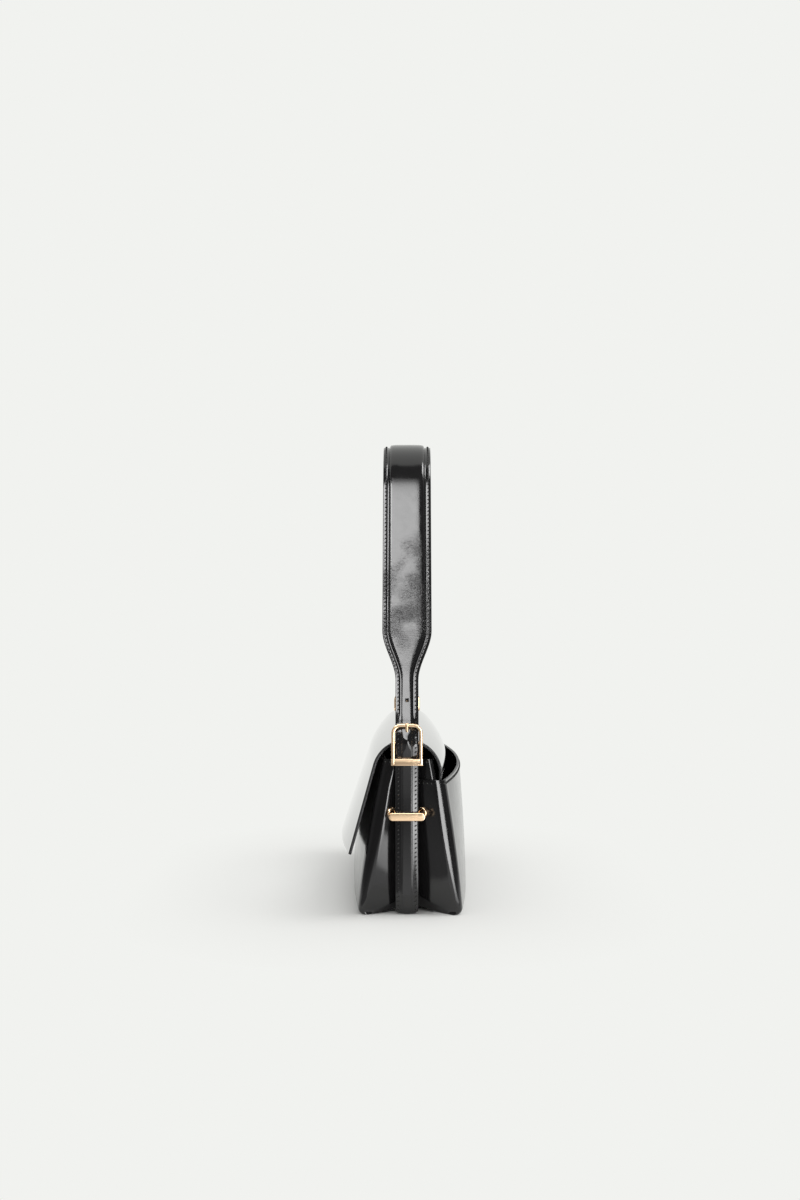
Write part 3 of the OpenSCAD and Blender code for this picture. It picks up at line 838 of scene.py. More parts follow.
@dataclass(frozen=True)
class BagForm:
    """Driving sizes of the body, as in the part's source, in millimetres."""

    half_l: float = 124.0
    body_h: float = 108.5
    front_foot: float = 34.3
    front_top: float = 16.4
    back_foot: float = 33.0
    back_top: float = 18.0
    front_bulge: float = 10.0
    back_bulge: float = 4.6
    wall_curve: float = 1.3
    corner_r: float = 5.0
    recess_top: float = 3.5
    recess_foot: float = 14.0
    crease_y: float = 8.0
    panel_curve: float = 1.1
    front_shallow: float = 0.36
    washer_y: float = 10.6
    washer_z: float = 71.0
    fold_foot: float = 2.8
    fold_top: float = 9.2
    fold_middle: float = 3.1
    fold_height: float = 90.0
    turn_max: float = 3.5
    wall_t: float = 1.8
    lining_t: float = 0.9
    base_t: float = 2.0
    board_t: float = 1.6
    pocket_h: float = 94.0
    pocket_foot: float = 39.0
    pocket_top: float = 27.3
    pocket_lip_bulge: float = 12.3
    pocket_foot_bulge: float = 5.0
    pocket_t: float = 1.8
    foot_round: float = 4.6
    tuck_front: float = 6.0
    tuck_back: float = 10.0
    ridge_slant: float = 0.25
    undercut: float = 0.42
    scallop: float = 3.4
    scallop_y: float = 26.0
    lift_from: float = 82.0
    lift_over: float = 21.0

    @property
    def seam_x(self) -> float:
        """Where the walls meet the gussets."""
        return self.half_l - self.corner_r

    def recess(self, z: Points | float) -> Points | float:
        """How far the gusset's middle is pushed in."""
        return self.recess_top + (self.recess_foot - self.recess_top) * (1.0 - z / self.body_h)

    def swell(self, x: Points | float) -> Points | float:
        """Share of the swelling at a place along the bag."""
        return np.maximum(0.0, 1.0 - (np.asarray(x) / self.seam_x) ** 2)

    def _lean(self, z: Points | float, foot: float, top: float, height: float) -> Points | float:
        """A leaning wall's distance from the strap's plane.

        Args:
            z: heights.
            foot: the distance at the floor.
            top: the distance at the wall's top.
            height: the wall's height.

        Returns:
            The distance at each height.
        """
        share = np.clip(np.asarray(z) / height, 0.0, 1.2)
        return top + (foot - top) * (1.0 - share ** self.wall_curve)

    def rounded_in(self, z: Points | float) -> Points | float:
        """How far the walls turn in just above the floor."""
        t = np.clip(1.0 - np.asarray(z) / self.foot_round, 0.0, 1.0)
        return self.foot_round * (1.0 - np.sqrt(1.0 - t * t))

    def front_edge(self, z: Points | float) -> Points | float:
        """The front wall's distance at the ends."""
        return self._lean(z, self.front_foot, self.front_top, self.body_h) - self.rounded_in(z)

    def back_edge(self, z: Points | float) -> Points | float:
        """The back wall's distance at the ends."""
        return self._lean(z, self.back_foot, self.back_top, self.body_h) - self.rounded_in(z)

    def pocket_edge(self, z: Points | float) -> Points | float:
        """The pocket's distance at the ends."""
        return self._lean(z, self.pocket_foot, self.pocket_top, self.pocket_h) - self.rounded_in(z)

    def front_y(self, x: Points, z: Points) -> Points:
        """The front wall's outer face."""
        wave = 0.5 + 0.5 * np.sin(np.pi * z / self.body_h)
        return -self.front_edge(z) - self.front_bulge * self.swell(x) * wave

    def back_y(self, x: Points, z: Points) -> Points:
        """The back wall's outer face."""
        return self.back_edge(z) + self.back_bulge * self.swell(x)

    def pocket_y(self, x: Points, z: Points) -> Points:
        """The pocket's outer face.

        Args:
            x: places along the bag.
            z: the height.

        Returns:
            The face's distances from the strap's plane.
        """
        opened = self.pocket_lip_bulge - self.pocket_foot_bulge
        gape = self.pocket_foot_bulge + opened * z / self.pocket_h
        return self.pocket_edge(z) + self.swell(x) * gape

    def fold(self, z: float) -> float:
        """How wide the gusset's rounded corner is at a height.

        Args:
            z: the height.

        Returns:
            The width.
        """
        share = min(max(z / self.body_h, 0.0), 1.0)
        wide = self.fold_foot + (self.fold_top - self.fold_foot) * share
        rise = min(max(z / self.fold_height, 0.0), 1.0)
        return wide + self.fold_middle * math.sin(math.pi * rise)

    def front_ridge(self, z: float) -> float:
        """Distance of the gusset's front ridge."""
        return float(self.front_edge(z)) - self.fold(z)

    def back_ridge(self, z: float) -> float:
        """Distance of the pocket's ridge, which the gusset's back panel runs up to."""
        return float(self.pocket_edge(z)) - self.fold(z)

    def panel_x(self, y: Points | float, z: Points | float, ridge: float,
                shallow: float = 0.0) -> Points | float:
        """The gusset's outer face: a panel that slants from the middle crease out to its ridge.

        Args:
            y: distances from the strap's plane.
            z: heights.
            ridge: the ridge's distance.
            shallow: how much of the depth is lost at the crease; 0 for the back panel.

        Returns:
            The places along the bag.
        """
        crease = min(self.crease_y, 0.55 * ridge)
        share = np.clip((np.abs(y) - crease) / (ridge - crease), 0.0, 1.0)
        deep = self.recess(z) * (1.0 - shallow * smoothstep(np.abs(y) / crease))
        tuck = (self.tuck_front if shallow else self.tuck_back) * (1.0 - share)
        under = np.maximum(0.0, tuck - z)
        tucked = self.undercut * under * smoothstep(under / 2.0)
        return self.half_l - deep * (1.0 - share ** self.panel_curve) - tucked

    def floor_rise(self, y: Points | float) -> Points | float:
        """How far the gusset's lower edge is drawn up between the two feet."""
        share = np.clip(np.abs(y) / self.scallop_y, 0.0, 1.0)
        return self.scallop * (1.0 - smoothstep(share))

    def floor_lift(self, x: Points | float, y: Points | float) -> Points | float:
        """How far the base is drawn up near the gussets."""
        return self.floor_rise(y) * smoothstep((np.abs(x) - self.lift_from) / self.lift_over)

    def corner(self, top: tuple[float, float], edge: float, inset: float, steps: int) -> Points:
        """The folded corner from the wall's seam up to a place on the ridge.

        Args:
            top: the place on the ridge, as x and distance.
            edge: the wall's distance at the seam.
            inset: how far the line lies inside the outer face.
            steps: the number of parts.

        Returns:
            The line, as x and distance.
        """
        far = np.cos(np.linspace(0.0, np.pi / 2, steps + 1))
        fall = self.ridge_slant * far + (1.0 - self.ridge_slant) * (1.0 - np.sqrt(1.0 - far ** 4))
        x = self.seam_x + (top[0] - self.seam_x - inset) * (1.0 - fall)
        return np.stack([x, top[1] + (edge - top[1] - inset) * far], axis=1)

    def eased(self, line: Points, count: int) -> Points:
        """A bent outline with its ridges softened.

        Args:
            line: the outline, as x and distance.
            count: the number of points in the result.

        Returns:
            The softened outline, evenly spaced.
        """
        line = even_steps(line, 0.2)
        for _ in range(40):
            line[1:-1] = 0.25 * (line[:-2] + line[2:]) + 0.5 * line[1:-1]
        at = np.linspace(0.0, len(line) - 1.0, count)
        return np.stack([np.interp(at, np.arange(len(line)), line[:, k]) for k in (0, 1)], axis=1)

    def half_end(self, z: float, edge: float, ridge: float, inset: float, shallow: float = 0.0,
                 count: int = 40) -> Points:
        """Half of a gusset's outline, from the seam over the softened ridge to the middle.

        Args:
            z: the height.
            edge: the wall's distance at the seam.
            ridge: the ridge's distance.
            inset: how far the outline lies inside the outer face.
            shallow: how much of the depth is lost at the crease.
            count: the number of points.

        Returns:
            The outline, as x and distance.
        """
        turn = min(ridge, edge - min(self.fold(z), self.turn_max))
        y = turn * (1.0 - np.linspace(0.0, 1.0, 60))
        inner = np.stack([self.panel_x(y, z, ridge, shallow) - inset, y], axis=1)
        top = (float(inner[0, 0]) + inset, turn)
        return self.eased(np.concatenate([self.corner(top, edge, inset, 10), inner[1:]]), count)


@dataclass
class Body:
    """The folded leather body: walls, gussets, base, back pocket and linings."""

    shop: Workshop
    form: BagForm
    wall_rows: int = 30
    wall_cols: int = 56
    foot_z: float = 0.4
    pocket_start: float = 8.4
    seam_drop: float = 2.2
    seam_proud: float = 0.15

    def build(self) -> None:
        """Make every piece of the body."""
        self.walls()
        self.base()
        for word in ("right", "left"):
            self.gusset(word)
        self.pocket()
        self.linings()
        self.seams()

    def rows(self, low: float, high: float, count: int) -> Points:
        """Heights that lie closer together near the low end."""
        t = np.linspace(0.0, 1.0, count)
        return low + (high - low) * t ** 1.4

    def wall_grid(self, face: Callable[[Points, Points], Points], inset: float, low: float,
                  high: float, cols: int | None = None) -> Points:
        """A grid of a wall's face.

        Args:
            face: the face's distance at places along the bag and a height.
            inset: how far the grid lies inside that face.
            low: the lowest row's height.
            high: the top row's height.
            cols: the number of columns.

        Returns:
            Rows by columns of points.
        """
        x = np.linspace(-self.form.seam_x, self.form.seam_x, cols or self.wall_cols)
        grid = []
        for z in self.rows(low, high, self.wall_rows):
            y = face(x, z)
            grid.append(at_height(x, y - np.sign(y) * inset, z))
        return np.array(grid)

    def walls(self) -> None:
        """The front and back walls."""
        f, m = self.form, self.shop.finishes
        front = leather_sheet("front_wall", self.wall_grid(f.front_y, 0.0, self.foot_z, f.body_h),
                              f.wall_t, m.leather, m.edge)
        self.shop.deliver(front, Slot.LEATHER, BodyName.ROOT, "front_panel")
        back = leather_sheet("back_wall", self.wall_grid(f.back_y, 0.0, 0.6, f.body_h - 2.0),
                             f.wall_t, m.leather, m.edge, flip=True)
        self.shop.deliver(back, Slot.LEATHER, BodyName.ROOT, "back_panel")

    def end_grid(self, inset: float, low: float, high: float) -> Points:
        """A right-hand gusset's face, from the front seam to the back seam.

        Args:
            inset: how far the grid lies inside the outer face.
            low: the lowest row's height.
            high: the top row's height.

        Returns:
            Rows by columns of points.
        """
        f = self.form
        grid = []
        for z in self.rows(0.0, 1.0, 2 * self.wall_rows):
            height = low + (high - low) * z
            front = f.half_end(height, float(f.front_edge(height)), f.front_ridge(height), inset,
                               f.front_shallow)
            back = f.half_end(height, float(f.back_edge(height)), f.back_ridge(height), inset)
            front[:, 1] *= -1.0
            line = np.concatenate([front, back[::-1][1:]])
            rise = f.floor_rise(line[:, 1]) * (1.0 - z) ** 2
            grid.append(np.column_stack([line, np.full(len(line), height) + rise]))
        return np.array(grid)

    def gusset(self, word: str) -> None:
        """One pushed-in gusset.

        Args:
            word: right or left.
        """
        f, m = self.form, self.shop.finishes
        grid = self.end_grid(0.0, self.foot_z, f.body_h)
        left = word == "left"
        piece = leather_sheet(f"gusset_{word}_leather", mirrored_x(grid) if left else grid,
                              f.wall_t, m.leather, m.edge, flip=left)
        self.shop.deliver(piece, Slot.LEATHER, BodyName.ROOT, f"gusset_{word}")

    def base_outline_x(self, y: Points) -> Points:
        """Half-length of the base at a distance from the strap's plane.

        Args:
            y: distances from the strap's plane.

        Returns:
            The half-length at each.
        """
        f = self.form
        z = f.foot_round
        out = np.empty_like(y)
        for i, value in enumerate(y):
            ridge = f.front_ridge(z) if value < 0 else f.back_ridge(z)
            if abs(value) <= ridge:
                out[i] = f.panel_x(value, z, ridge, f.front_shallow if value < 0 else 0.0)
            else:
                reach = min((abs(value) - ridge) / f.fold(z), 1.0)
                out[i] = f.seam_x + f.corner_r * math.sqrt(1.0 - reach ** 2)
        return out

    def base(self) -> None:
        """The base leather, drawn up between the feet, with its board and lining."""
        f, m = self.form, self.shop.finishes
        inset = f.foot_round - self.foot_z
        x_share = np.linspace(-1.0, 1.0, 60)
        y_share = np.linspace(-1.0, 1.0, 40)
        grid = []
        for v in y_share:
            line = []
            for u in x_share:
                x_mid = u * f.seam_x
                low = float(f.front_y(x_mid, 1.0)) + inset
                high = float(f.pocket_y(x_mid, 1.0)) - inset
                y = low + (high - low) * (v + 1.0) / 2.0
                reach = float(self.base_outline_x(np.array([y]))[0]) - 0.5 * inset
                line.append((u * reach, y, float(f.floor_lift(u * reach, y))))
            grid.append(line)
        piece = leather_sheet("base_leather", np.array(grid), f.base_t, m.leather, m.edge,
                              flip=True)
        self.shop.deliver(piece, Slot.LEATHER, BodyName.ROOT, "base_panel")
        self.floor_plate("board", "base_board", f.base_t, f.board_t, m.board, Slot.BOARD)
        self.floor_plate("floor_lining", "lining_base", f.base_t + f.board_t, f.lining_t,
                         m.lining, Slot.LINING)

    def floor_plate(self, name: str, node: str, bottom: float, thick: float,
                    finish: bpy.types.Material, slot: Slot) -> None:
        """A flat plate that fits inside the walls, for the board and the lining on it.

        Args:
            name: the piece's name.
            node: the CAD node that it stands for.
            bottom: the height of its underside.
            thick: its thickness.
            finish: its material.
            slot: the record's material slot.
        """
        f = self.form
        margin = f.wall_t + f.lining_t + 1.4
        grid = []
        for v in np.linspace(-1.0, 1.0, 16):
            line = []
            for u in np.linspace(-1.0, 1.0, 40):
                x = u * (f.half_l - f.recess_foot - margin)
                low = float(f.front_y(x, bottom)) + margin
                high = float(f.back_y(x, bottom)) - margin
                y = low + (high - low) * (v + 1.0) / 2.0
                line.append((x, y, bottom + thick + float(f.floor_lift(x, y))))
            grid.append(line)
        piece = leather_sheet(name, np.array(grid), thick, finish, finish, 0.3)
        self.shop.deliver(piece, slot, BodyName.ROOT, node)

    def pocket_line(self, z: float, inset: float) -> Points:
        """The pocket's outline at a height, from the middle of one gusset to the other's.

        Args:
            z: the height.
            inset: how far the outline lies inside the outer face.

        Returns:
            The outline, as x and distance.
        """
        f = self.form
        ridge = f.back_ridge(z)
        y = np.linspace(self.pocket_start, ridge, 50)
        lying = np.stack([f.panel_x(y, z, ridge) + f.pocket_t - inset, y], axis=1)
        top = (float(lying[-1, 0]) + inset, ridge)
        turned = f.corner(top, float(f.pocket_edge(z)), inset, 14)[::-1][1:]
        x = np.linspace(f.seam_x, -f.seam_x, self.wall_cols + 8)[1:-1]
        wall = np.stack([x, f.pocket_y(x, z) - inset], axis=1)
        right = f.eased(np.concatenate([lying, turned]), 44)
        left = right[::-1].copy()
        left[:, 0] *= -1.0
        return np.concatenate([right, wall, left])

    def pocket(self) -> None:
        """The slip pocket: it wraps from one gusset's middle round the back to the other's."""
        f, m = self.form, self.shop.finishes
        grid = []
        for t in self.rows(0.0, 1.0, 2 * self.wall_rows):
            height = self.foot_z + (f.pocket_h - self.foot_z) * t
            line = self.pocket_line(height, 0.0)
            end = np.abs(line[:, 0]) > f.seam_x - 12.0
            rise = np.where(end, f.floor_rise(line[:, 1]), 0.0) * (1.0 - t) ** 2
            grid.append(np.column_stack([line, np.full(len(line), height) + rise]))
        piece = leather_sheet("pocket_leather", np.array(grid), f.pocket_t, m.leather, m.edge, 0.6)
        self.shop.deliver(piece, Slot.LEATHER, BodyName.ROOT, "back_pocket")

    def linings(self) -> None:
        """The linings of the walls and gussets, and the slip pocket sewn to the back one."""
        f, m = self.form, self.shop.finishes
        low = f.base_t + 0.2
        for name, face, node, flip in (("front_lining", f.front_y, "lining_front", False),
                                       ("back_lining", f.back_y, "lining_back", True)):
            high = f.body_h - (2.6 if flip else 0.6)
            piece = leather_sheet(name, self.wall_grid(face, f.wall_t, low, high), f.lining_t,
                                  m.lining, m.lining, 0.2, flip=flip)
            self.shop.deliver(piece, Slot.LINING, BodyName.ROOT, node)
        grid = self.end_grid(f.wall_t, low, f.body_h - 0.6)
        for word in ("right", "left"):
            left = word == "left"
            piece = leather_sheet(f"gusset_{word}_lining", mirrored_x(grid) if left else grid,
                                  f.lining_t, m.lining, m.lining, 0.2, flip=left)
            self.shop.deliver(piece, Slot.LINING, BodyName.ROOT, f"lining_gusset_{word}")
        self.slip_pocket()

    def slip_pocket(self) -> None:
        """The open pocket on the back lining, whose mouth gapes a little."""
        f, m = self.form, self.shop.finishes
        low_corner, high_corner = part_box("inner_pocket")
        half_w = high_corner[0] / MM
        low, high = low_corner[2] / MM, high_corner[2] / MM
        x = np.linspace(-half_w, half_w, 30)
        grid = []
        for z in np.linspace(low, high, 16):
            gape = 3.0 * (1.0 - (x / half_w) ** 2) * (z - low) / (high - low)
            y = f.back_y(x, z) - f.wall_t - f.lining_t - gape
            grid.append(at_height(x, y, z))
        piece = leather_sheet("slip_pocket", np.array(grid), f.lining_t, m.lining, m.edge, 0.3,
                              flip=True)
        self.shop.deliver(piece, Slot.LINING, BodyName.ROOT, "inner_pocket")

    def seams(self) -> None:
        """Stitches along the gussets' top edges and the pocket's lip."""
        f, out = self.form, -self.seam_proud
        z = f.body_h - self.seam_drop
        front = f.half_end(z, float(f.front_edge(z)), f.front_ridge(z), out, f.front_shallow)[8:]
        back = f.half_end(z, float(f.back_edge(z)), f.back_ridge(z), out)[8:]
        seams = []
        for side in (1, -1):
            line = np.concatenate([front * (side, -1.0), back[::-1] * (side, 1.0)])
            seam = even_steps(np.column_stack([line, np.full(len(line), z)]), 1.0)
            seams.append((seam, np.tile([side, 0.0, 0.0], (len(seam), 1))))
        z = f.pocket_h - self.seam_drop
        line = self.pocket_line(z, out)
        seam = even_steps(np.column_stack([line, np.full(len(line), z)]), 1.0)
        ahead = np.gradient(seam, axis=0)
        flat = np.zeros(len(seam))
        seams.append((seam, np.stack([ahead[:, 1], -ahead[:, 0], flat], axis=1)))
        piece = self.shop.stitches.sew("body_stitches", seams)
        self.shop.deliver(piece, Slot.LEATHER, BodyName.ROOT)


@dataclass
class Flap:
    """The flap: one leather that turns over the top and hangs over the front."""

    shop: Workshop
    form: BagForm
    length: float = 242.0
    radius: float = 24.5
    centre_z: float = 97.7
    slope: float = 15.5
    hang: float = 64.6
    bulge: float = 5.1
    thickness: float = 2.4
    lining_t: float = 0.3
    seam_h: float = 13.5
    columns: int = 72
    bend_start: tuple[float, float] = (4.5, 6.0)
    bend_end: tuple[float, float] = (-3.5, -5.0)

    def build(self) -> None:
        """Make the flap's pieces."""
        self.back_strip()
        self.skin()

    def bend_point(self, degrees: float, inset: float) -> Points:
        """A point of the section round the bend, as distance and height.

        Args:
            degrees: how far round the bend, from the back.
            inset: how far inside the outer face.

        Returns:
            The distance and the height.
        """
        a = math.radians(degrees)
        return np.array([(self.radius - inset) * math.cos(a),
                         self.centre_z + (self.radius - inset) * math.sin(a)])

    def profile(self, inset: float) -> Points:
        """The section from the back of the bend to the lower edge.

        Args:
            inset: how far inside the outer face.

        Returns:
            The section, as distance and height.
        """
        turn = [self.bend_point(a, inset) for a in np.linspace(0.0, 180.0 - self.slope, 60)]
        s = math.radians(self.slope)
        fall = np.array([math.sin(s), math.cos(s)])
        hang = [turn[-1] - d * fall for d in np.linspace(0.0, self.hang, 34)[1:]]
        return np.array(turn + hang)

    def across(self) -> tuple[Points, Points]:
        """Places along the flap, and how much it is swollen at each."""
        x = np.linspace(-self.length / 2, self.length / 2, self.columns)
        return x, 1.0 + self.bulge / self.radius * self.form.swell(x)

    def grid(self, inset: float) -> Points:
        """Rows by columns of the flap's face, swollen at mid-length."""
        x, scale = self.across()
        return np.array([at_height(x, y * scale, z) for y, z in self.profile(inset)])

    def skin(self) -> None:
        """The leather and its lining, turning over the top and hanging down the front."""
        m = self.shop.finishes
        fold = self.bend_point(180.0 - self.slope, 0.0)
        start, end = ((0.0, *(fold + away) * MM) for away in (self.bend_start, self.bend_end))
        bodies = (BodyName.BEND, BodyName.DROP)
        outer = leather_sheet("flap_skin", self.grid(0.0), self.thickness - self.lining_t,
                              m.flap, m.edge, 0.3, flip=True)
        self.shop.deliver_bent(outer, Slot.FLAP, bodies, start, end, "flap_top", "flap_front")
        inner = leather_sheet("flap_lining", self.grid(self.thickness - self.lining_t)[:, 1:-1],
                              self.lining_t, m.lining, m.lining, 0.1, flip=True)
        self.shop.deliver_bent(inner, Slot.LINING, bodies, start, end,
                               "flap_top_lining", "flap_front_lining")

    def back_strip(self) -> None:
        """The part of the flap that is sewn to the back wall and turns up to the bend."""
        f, m = self.form, self.shop.finishes
        low, high = self.centre_z - self.seam_h, self.centre_z + 0.4
        x, scale = self.across()
        grid = []
        for t in np.linspace(0.0, 1.0, 12):
            z = low + (high - low) * t
            lying = f.back_y(x, z) + self.thickness
            y = lying + (self.radius * scale - lying) * smoothstep(t)
            grid.append(at_height(x, y, z))
        piece = leather_sheet("flap_back_leather", np.array(grid), self.thickness, m.flap, m.edge,
                              0.7, flip=True)
        self.shop.deliver_bent(piece, Slot.FLAP, (BodyName.ROOT, BodyName.BEND),
                               (0.0, 0.0, (low + 3.0) * MM), (0.0, 0.0, (self.centre_z - 0.5) * MM),
                               "flap_back")


@dataclass
class Strap:
    """The padded shoulder strap with its ends through the buckles and down to the base."""

    shop: Workshop
    form: BagForm
    width: float = 35.0
    end_width: float = 16.0
    top_z: float = 330.4
    arch_r: float = 54.0
    lean: float = 23.6
    shoulder_z: float = 199.5
    taper: float = 34.0
    pivot_x: float = 124.8
    pivot_z: float = 140.0
    skin_t: float = 1.3
    lining_t: float = 1.2
    pad_t: float = 1.9
    band: float = 12.4
    end_band: float = 3.4
    seam_inset: float = 2.0
    hole_z: float = 149.0
    hole_d: float = 2.4
    tip_z: float = 1.0
    step: float = 1.5
    edge_r: float = 0.85
    keeper_gap: float = 4.2
    twist_below: float = 8.0
    twist_above: float = 12.0
    press_z: float = 121.2
    press_h: float = 2.5
    press_r: float = 2.5

    def build(self) -> None:
        """Make the strap's pieces."""
        route = self.route()
        self.leather(route)
        self.sewn(route)

    def right_half(self) -> list[tuple[float, float]]:
        """Corner points of the right half, from the tail's tip up to the arch.

        Returns:
            The corner points, as x and height.
        """
        f = self.form
        buckle, bar, keeper = (np.array(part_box(node)) / MM for node in (
            "buckle_frame_right", "buckle_bar_right", "keeper_bar_right"))
        frame_x = 0.5 * (buckle[0][0] + buckle[1][0])
        bar_z = 0.5 * (bar[0][2] + bar[1][2])
        keeper_z = 0.5 * (keeper[0][2] + keeper[1][2])
        keeper_x = keeper[1][0] - self.keeper_gap
        tail = [
            (f.half_l - 3.6, self.tip_z),
            (f.half_l - 2.0, self.tip_z + 5.0),
            (f.half_l - 0.5, 22.0),
            (keeper_x - 0.4, keeper_z - 16.0),
            (keeper_x, keeper_z + 10.0),
            (keeper_x + 1.8, keeper_z + 26.0),
            (frame_x - 3.4, 107.0),
            (frame_x - 1.8, 112.5),
            (frame_x + 0.3, bar_z - 2.6),
            (frame_x + 0.7, bar_z + 3.4),
            (frame_x - 0.9, bar_z + 8.6),
            (frame_x - 3.6, bar_z + 12.0),
            (self.pivot_x + 2.2, self.pivot_z - 4.6),
            (self.pivot_x, self.pivot_z)]
        arch = [(self.arch_r * math.cos(a), self.top_z - self.arch_r * (1.0 - math.sin(a)))
                for a in np.radians(np.linspace(self.lean, 84.0, 9))]
        arch_x, arch_z = arch[0]
        shoulder_x = arch_x + (arch_z - self.shoulder_z) * math.tan(math.radians(self.lean))
        leg = [(self.pivot_x + (shoulder_x - self.pivot_x) * t,
                self.pivot_z + (self.shoulder_z - self.pivot_z) * t) for t in (0.3, 0.6, 0.85, 1.0)]
        up = [(shoulder_x + (arch_x - shoulder_x) * t,
               self.shoulder_z + (arch_z - self.shoulder_z) * t) for t in (0.25, 0.5, 0.75)]
        return tail + leg + up + arch

    def route(self) -> Points:
        """The whole route as x and z, from the right tip over the top to the left tip."""
        right = self.right_half()
        return smooth_route(right + [(-x, z) for x, z in reversed(right)], self.step)

    def half_width(self, z: Points) -> Points:
        """Half the strap's width at each height: tip, tail, taper and shoulder part.

        Args:
            z: heights.

        Returns:
            The half-width at each.
        """
        end, full = self.end_width / 2, self.width / 2
        taper_z = self.shoulder_z - 3.0 - self.taper
        grown = end + (full - end) * smoothstep((z - taper_z) / self.taper)
        near_tip = np.clip((z - self.tip_z) / 3.0, 0.0, 1.0)
        return grown * (0.8 + 0.2 * np.sqrt(1.0 - (1.0 - near_tip) ** 2))

    def section(self, half_w: float, pad: float,
                beaded: float) -> tuple[list[tuple[float, float]], list[int]]:
        """The outline across the strap, as distance and height, and the side materials.

        Args:
            half_w: half the strap's width.
            pad: the height of the raised middle.
            beaded: 0 for edges that fall away, 1 for edges with a bead along the seam.

        Returns:
            The closed outline and, for each of its sides, 0 for leather, 1 for edge, 2 for lining.
        """
        end = self.end_width / 2
        band = self.end_band + (half_w - end) * (self.band - self.end_band) / (self.width / 2 - end)
        top, low, r = self.skin_t, -self.lining_t, self.edge_r
        seam = half_w - self.seam_inset
        dome = ((1.03, 0.2), (1.0, 0.55), (0.95, 0.78), (0.85, 0.88), (0.7, 0.955), (0.4, 0.99),
                (0.0, 1.0))
        falling = [(half_w - r * 0.4, -0.95), (half_w - r, -0.7), (seam + 0.8, -0.6),
                   (seam + 0.5, -0.52), (seam + 0.25, -0.47), (seam - 0.25, -0.37),
                   (seam - 0.5, -0.32), (seam - 0.9, -0.24), (band + 0.65, -0.05)]
        bead = [(half_w - r * 0.4, -0.42), (half_w - 0.62, -0.26), (seam + 0.98, -0.3),
                (seam + 0.66, -0.03), (seam + 0.45, 0.02), (seam - 0.45, 0.02),
                (seam - 0.66, -0.03), (seam - 0.98, -0.3), (band + 0.65, -0.3)]
        plain = 1.0 - beaded
        right = [(b[0] * beaded + a[0] * plain, top + b[1] * beaded + a[1] * plain)
                 for a, b in zip(falling, bead)]
        right += [(band * share, top + pad * height) for share, height in dome]
        left = [(-y, n) for y, n in reversed(right[:-1])]
        edge = [(-half_w + r * 0.08, top - 1.15 + 0.55 * beaded), (-half_w, 0.4 * top + 0.6 * low),
                (-half_w + r * 0.3, low + 0.25)]
        under = [(-half_w + r, low), (-half_w * 0.5, low - 0.05), (0.0, low - 0.07),
                 (half_w * 0.5, low - 0.05), (half_w - r, low)]
        other = [(-y, n) for y, n in reversed(edge)]
        outline = right + left + edge + under + other
        kinds = ([0] * (len(right) + len(left) - 1) + [1] * (len(edge) + 1)
                 + [2] * (len(under) - 1) + [1] * (len(other) + 1))
        return outline, kinds

    def pad_height(self, z: Points) -> Points:
        """Height of the raised middle: low through the buckle, full on the shoulder."""
        return self.pad_t * (0.3 + 0.7 * smoothstep((z - self.pivot_z) / 40.0))

    def beaded(self, z: float) -> float:
        """Whether the edges are beaded at a height: above the buckle only."""
        return float(smoothstep((z - self.pivot_z + 6.0) / 8.0))

    def pressed(self, outline: Sequence[tuple[float, float]],
                z: float) -> list[tuple[float, float]]:
        """The outline where the prong's root pushes the leather out inside the buckle.

        Args:
            outline: the outline across the strap.
            z: the height that it lies at.

        Returns:
            The changed outline.
        """
        wide = 2.0 * self.press_r ** 2
        return [(y, n + self.press_h * math.exp(-(y * y + (z - self.press_z) ** 2) / wide)
                 if n > 0.5 * self.skin_t else n) for y, n in outline]

    @staticmethod
    def placed(p: Points, n: Points, outline: Sequence[tuple[float, float]]) -> Points:
        """An outline placed at a point of the route, square to its normal there."""
        return np.array([(p[0] + n[0] * h, y, p[1] + n[1] * h) for y, h in outline])

    def leather(self, route: Points) -> None:
        """The strap's leather, with its punched holes, as one piece.

        Args:
            route: the route's points.
        """
        m = self.shop.finishes
        normals = route_normals(route)
        widths, pads = self.half_width(route[:, 1]), self.pad_height(route[:, 1])
        rings = []
        for p, n, half_w, pad in zip(route, normals, widths, pads):
            z = float(p[1])
            outline, kinds = self.section(float(half_w), float(pad), self.beaded(z))
            rings.append(self.placed(p, n, self.pressed(outline, z)))
        piece = swept("strap_skin", np.array(rings), lambda j: kinds[j],
                      (m.strap, m.edge, m.lining, m.edge))
        self.punch(piece, route, normals)
        self.deliver_blended(piece, Slot.STRAP, "strap_outer", "strap_padding", "strap_lining",
                             "strap_tail_right", "strap_tail_left")

    def deliver_blended(self, piece: bpy.types.Object, slot: Slot, *nodes: str) -> None:
        """Hand a piece on as lying between the root and the strap, with heights just below and
        above the buckles.

        Args:
            piece: the piece.
            slot: the record's material slot.
            nodes: the CAD nodes that it stands for.
        """
        self.shop.deliver_bent(piece, slot, (BodyName.ROOT, BodyName.STRAP),
                               (0.0, 0.0, (self.pivot_z - self.twist_below) * MM),
                               (0.0, 0.0, (self.pivot_z + self.twist_above) * MM), *nodes)

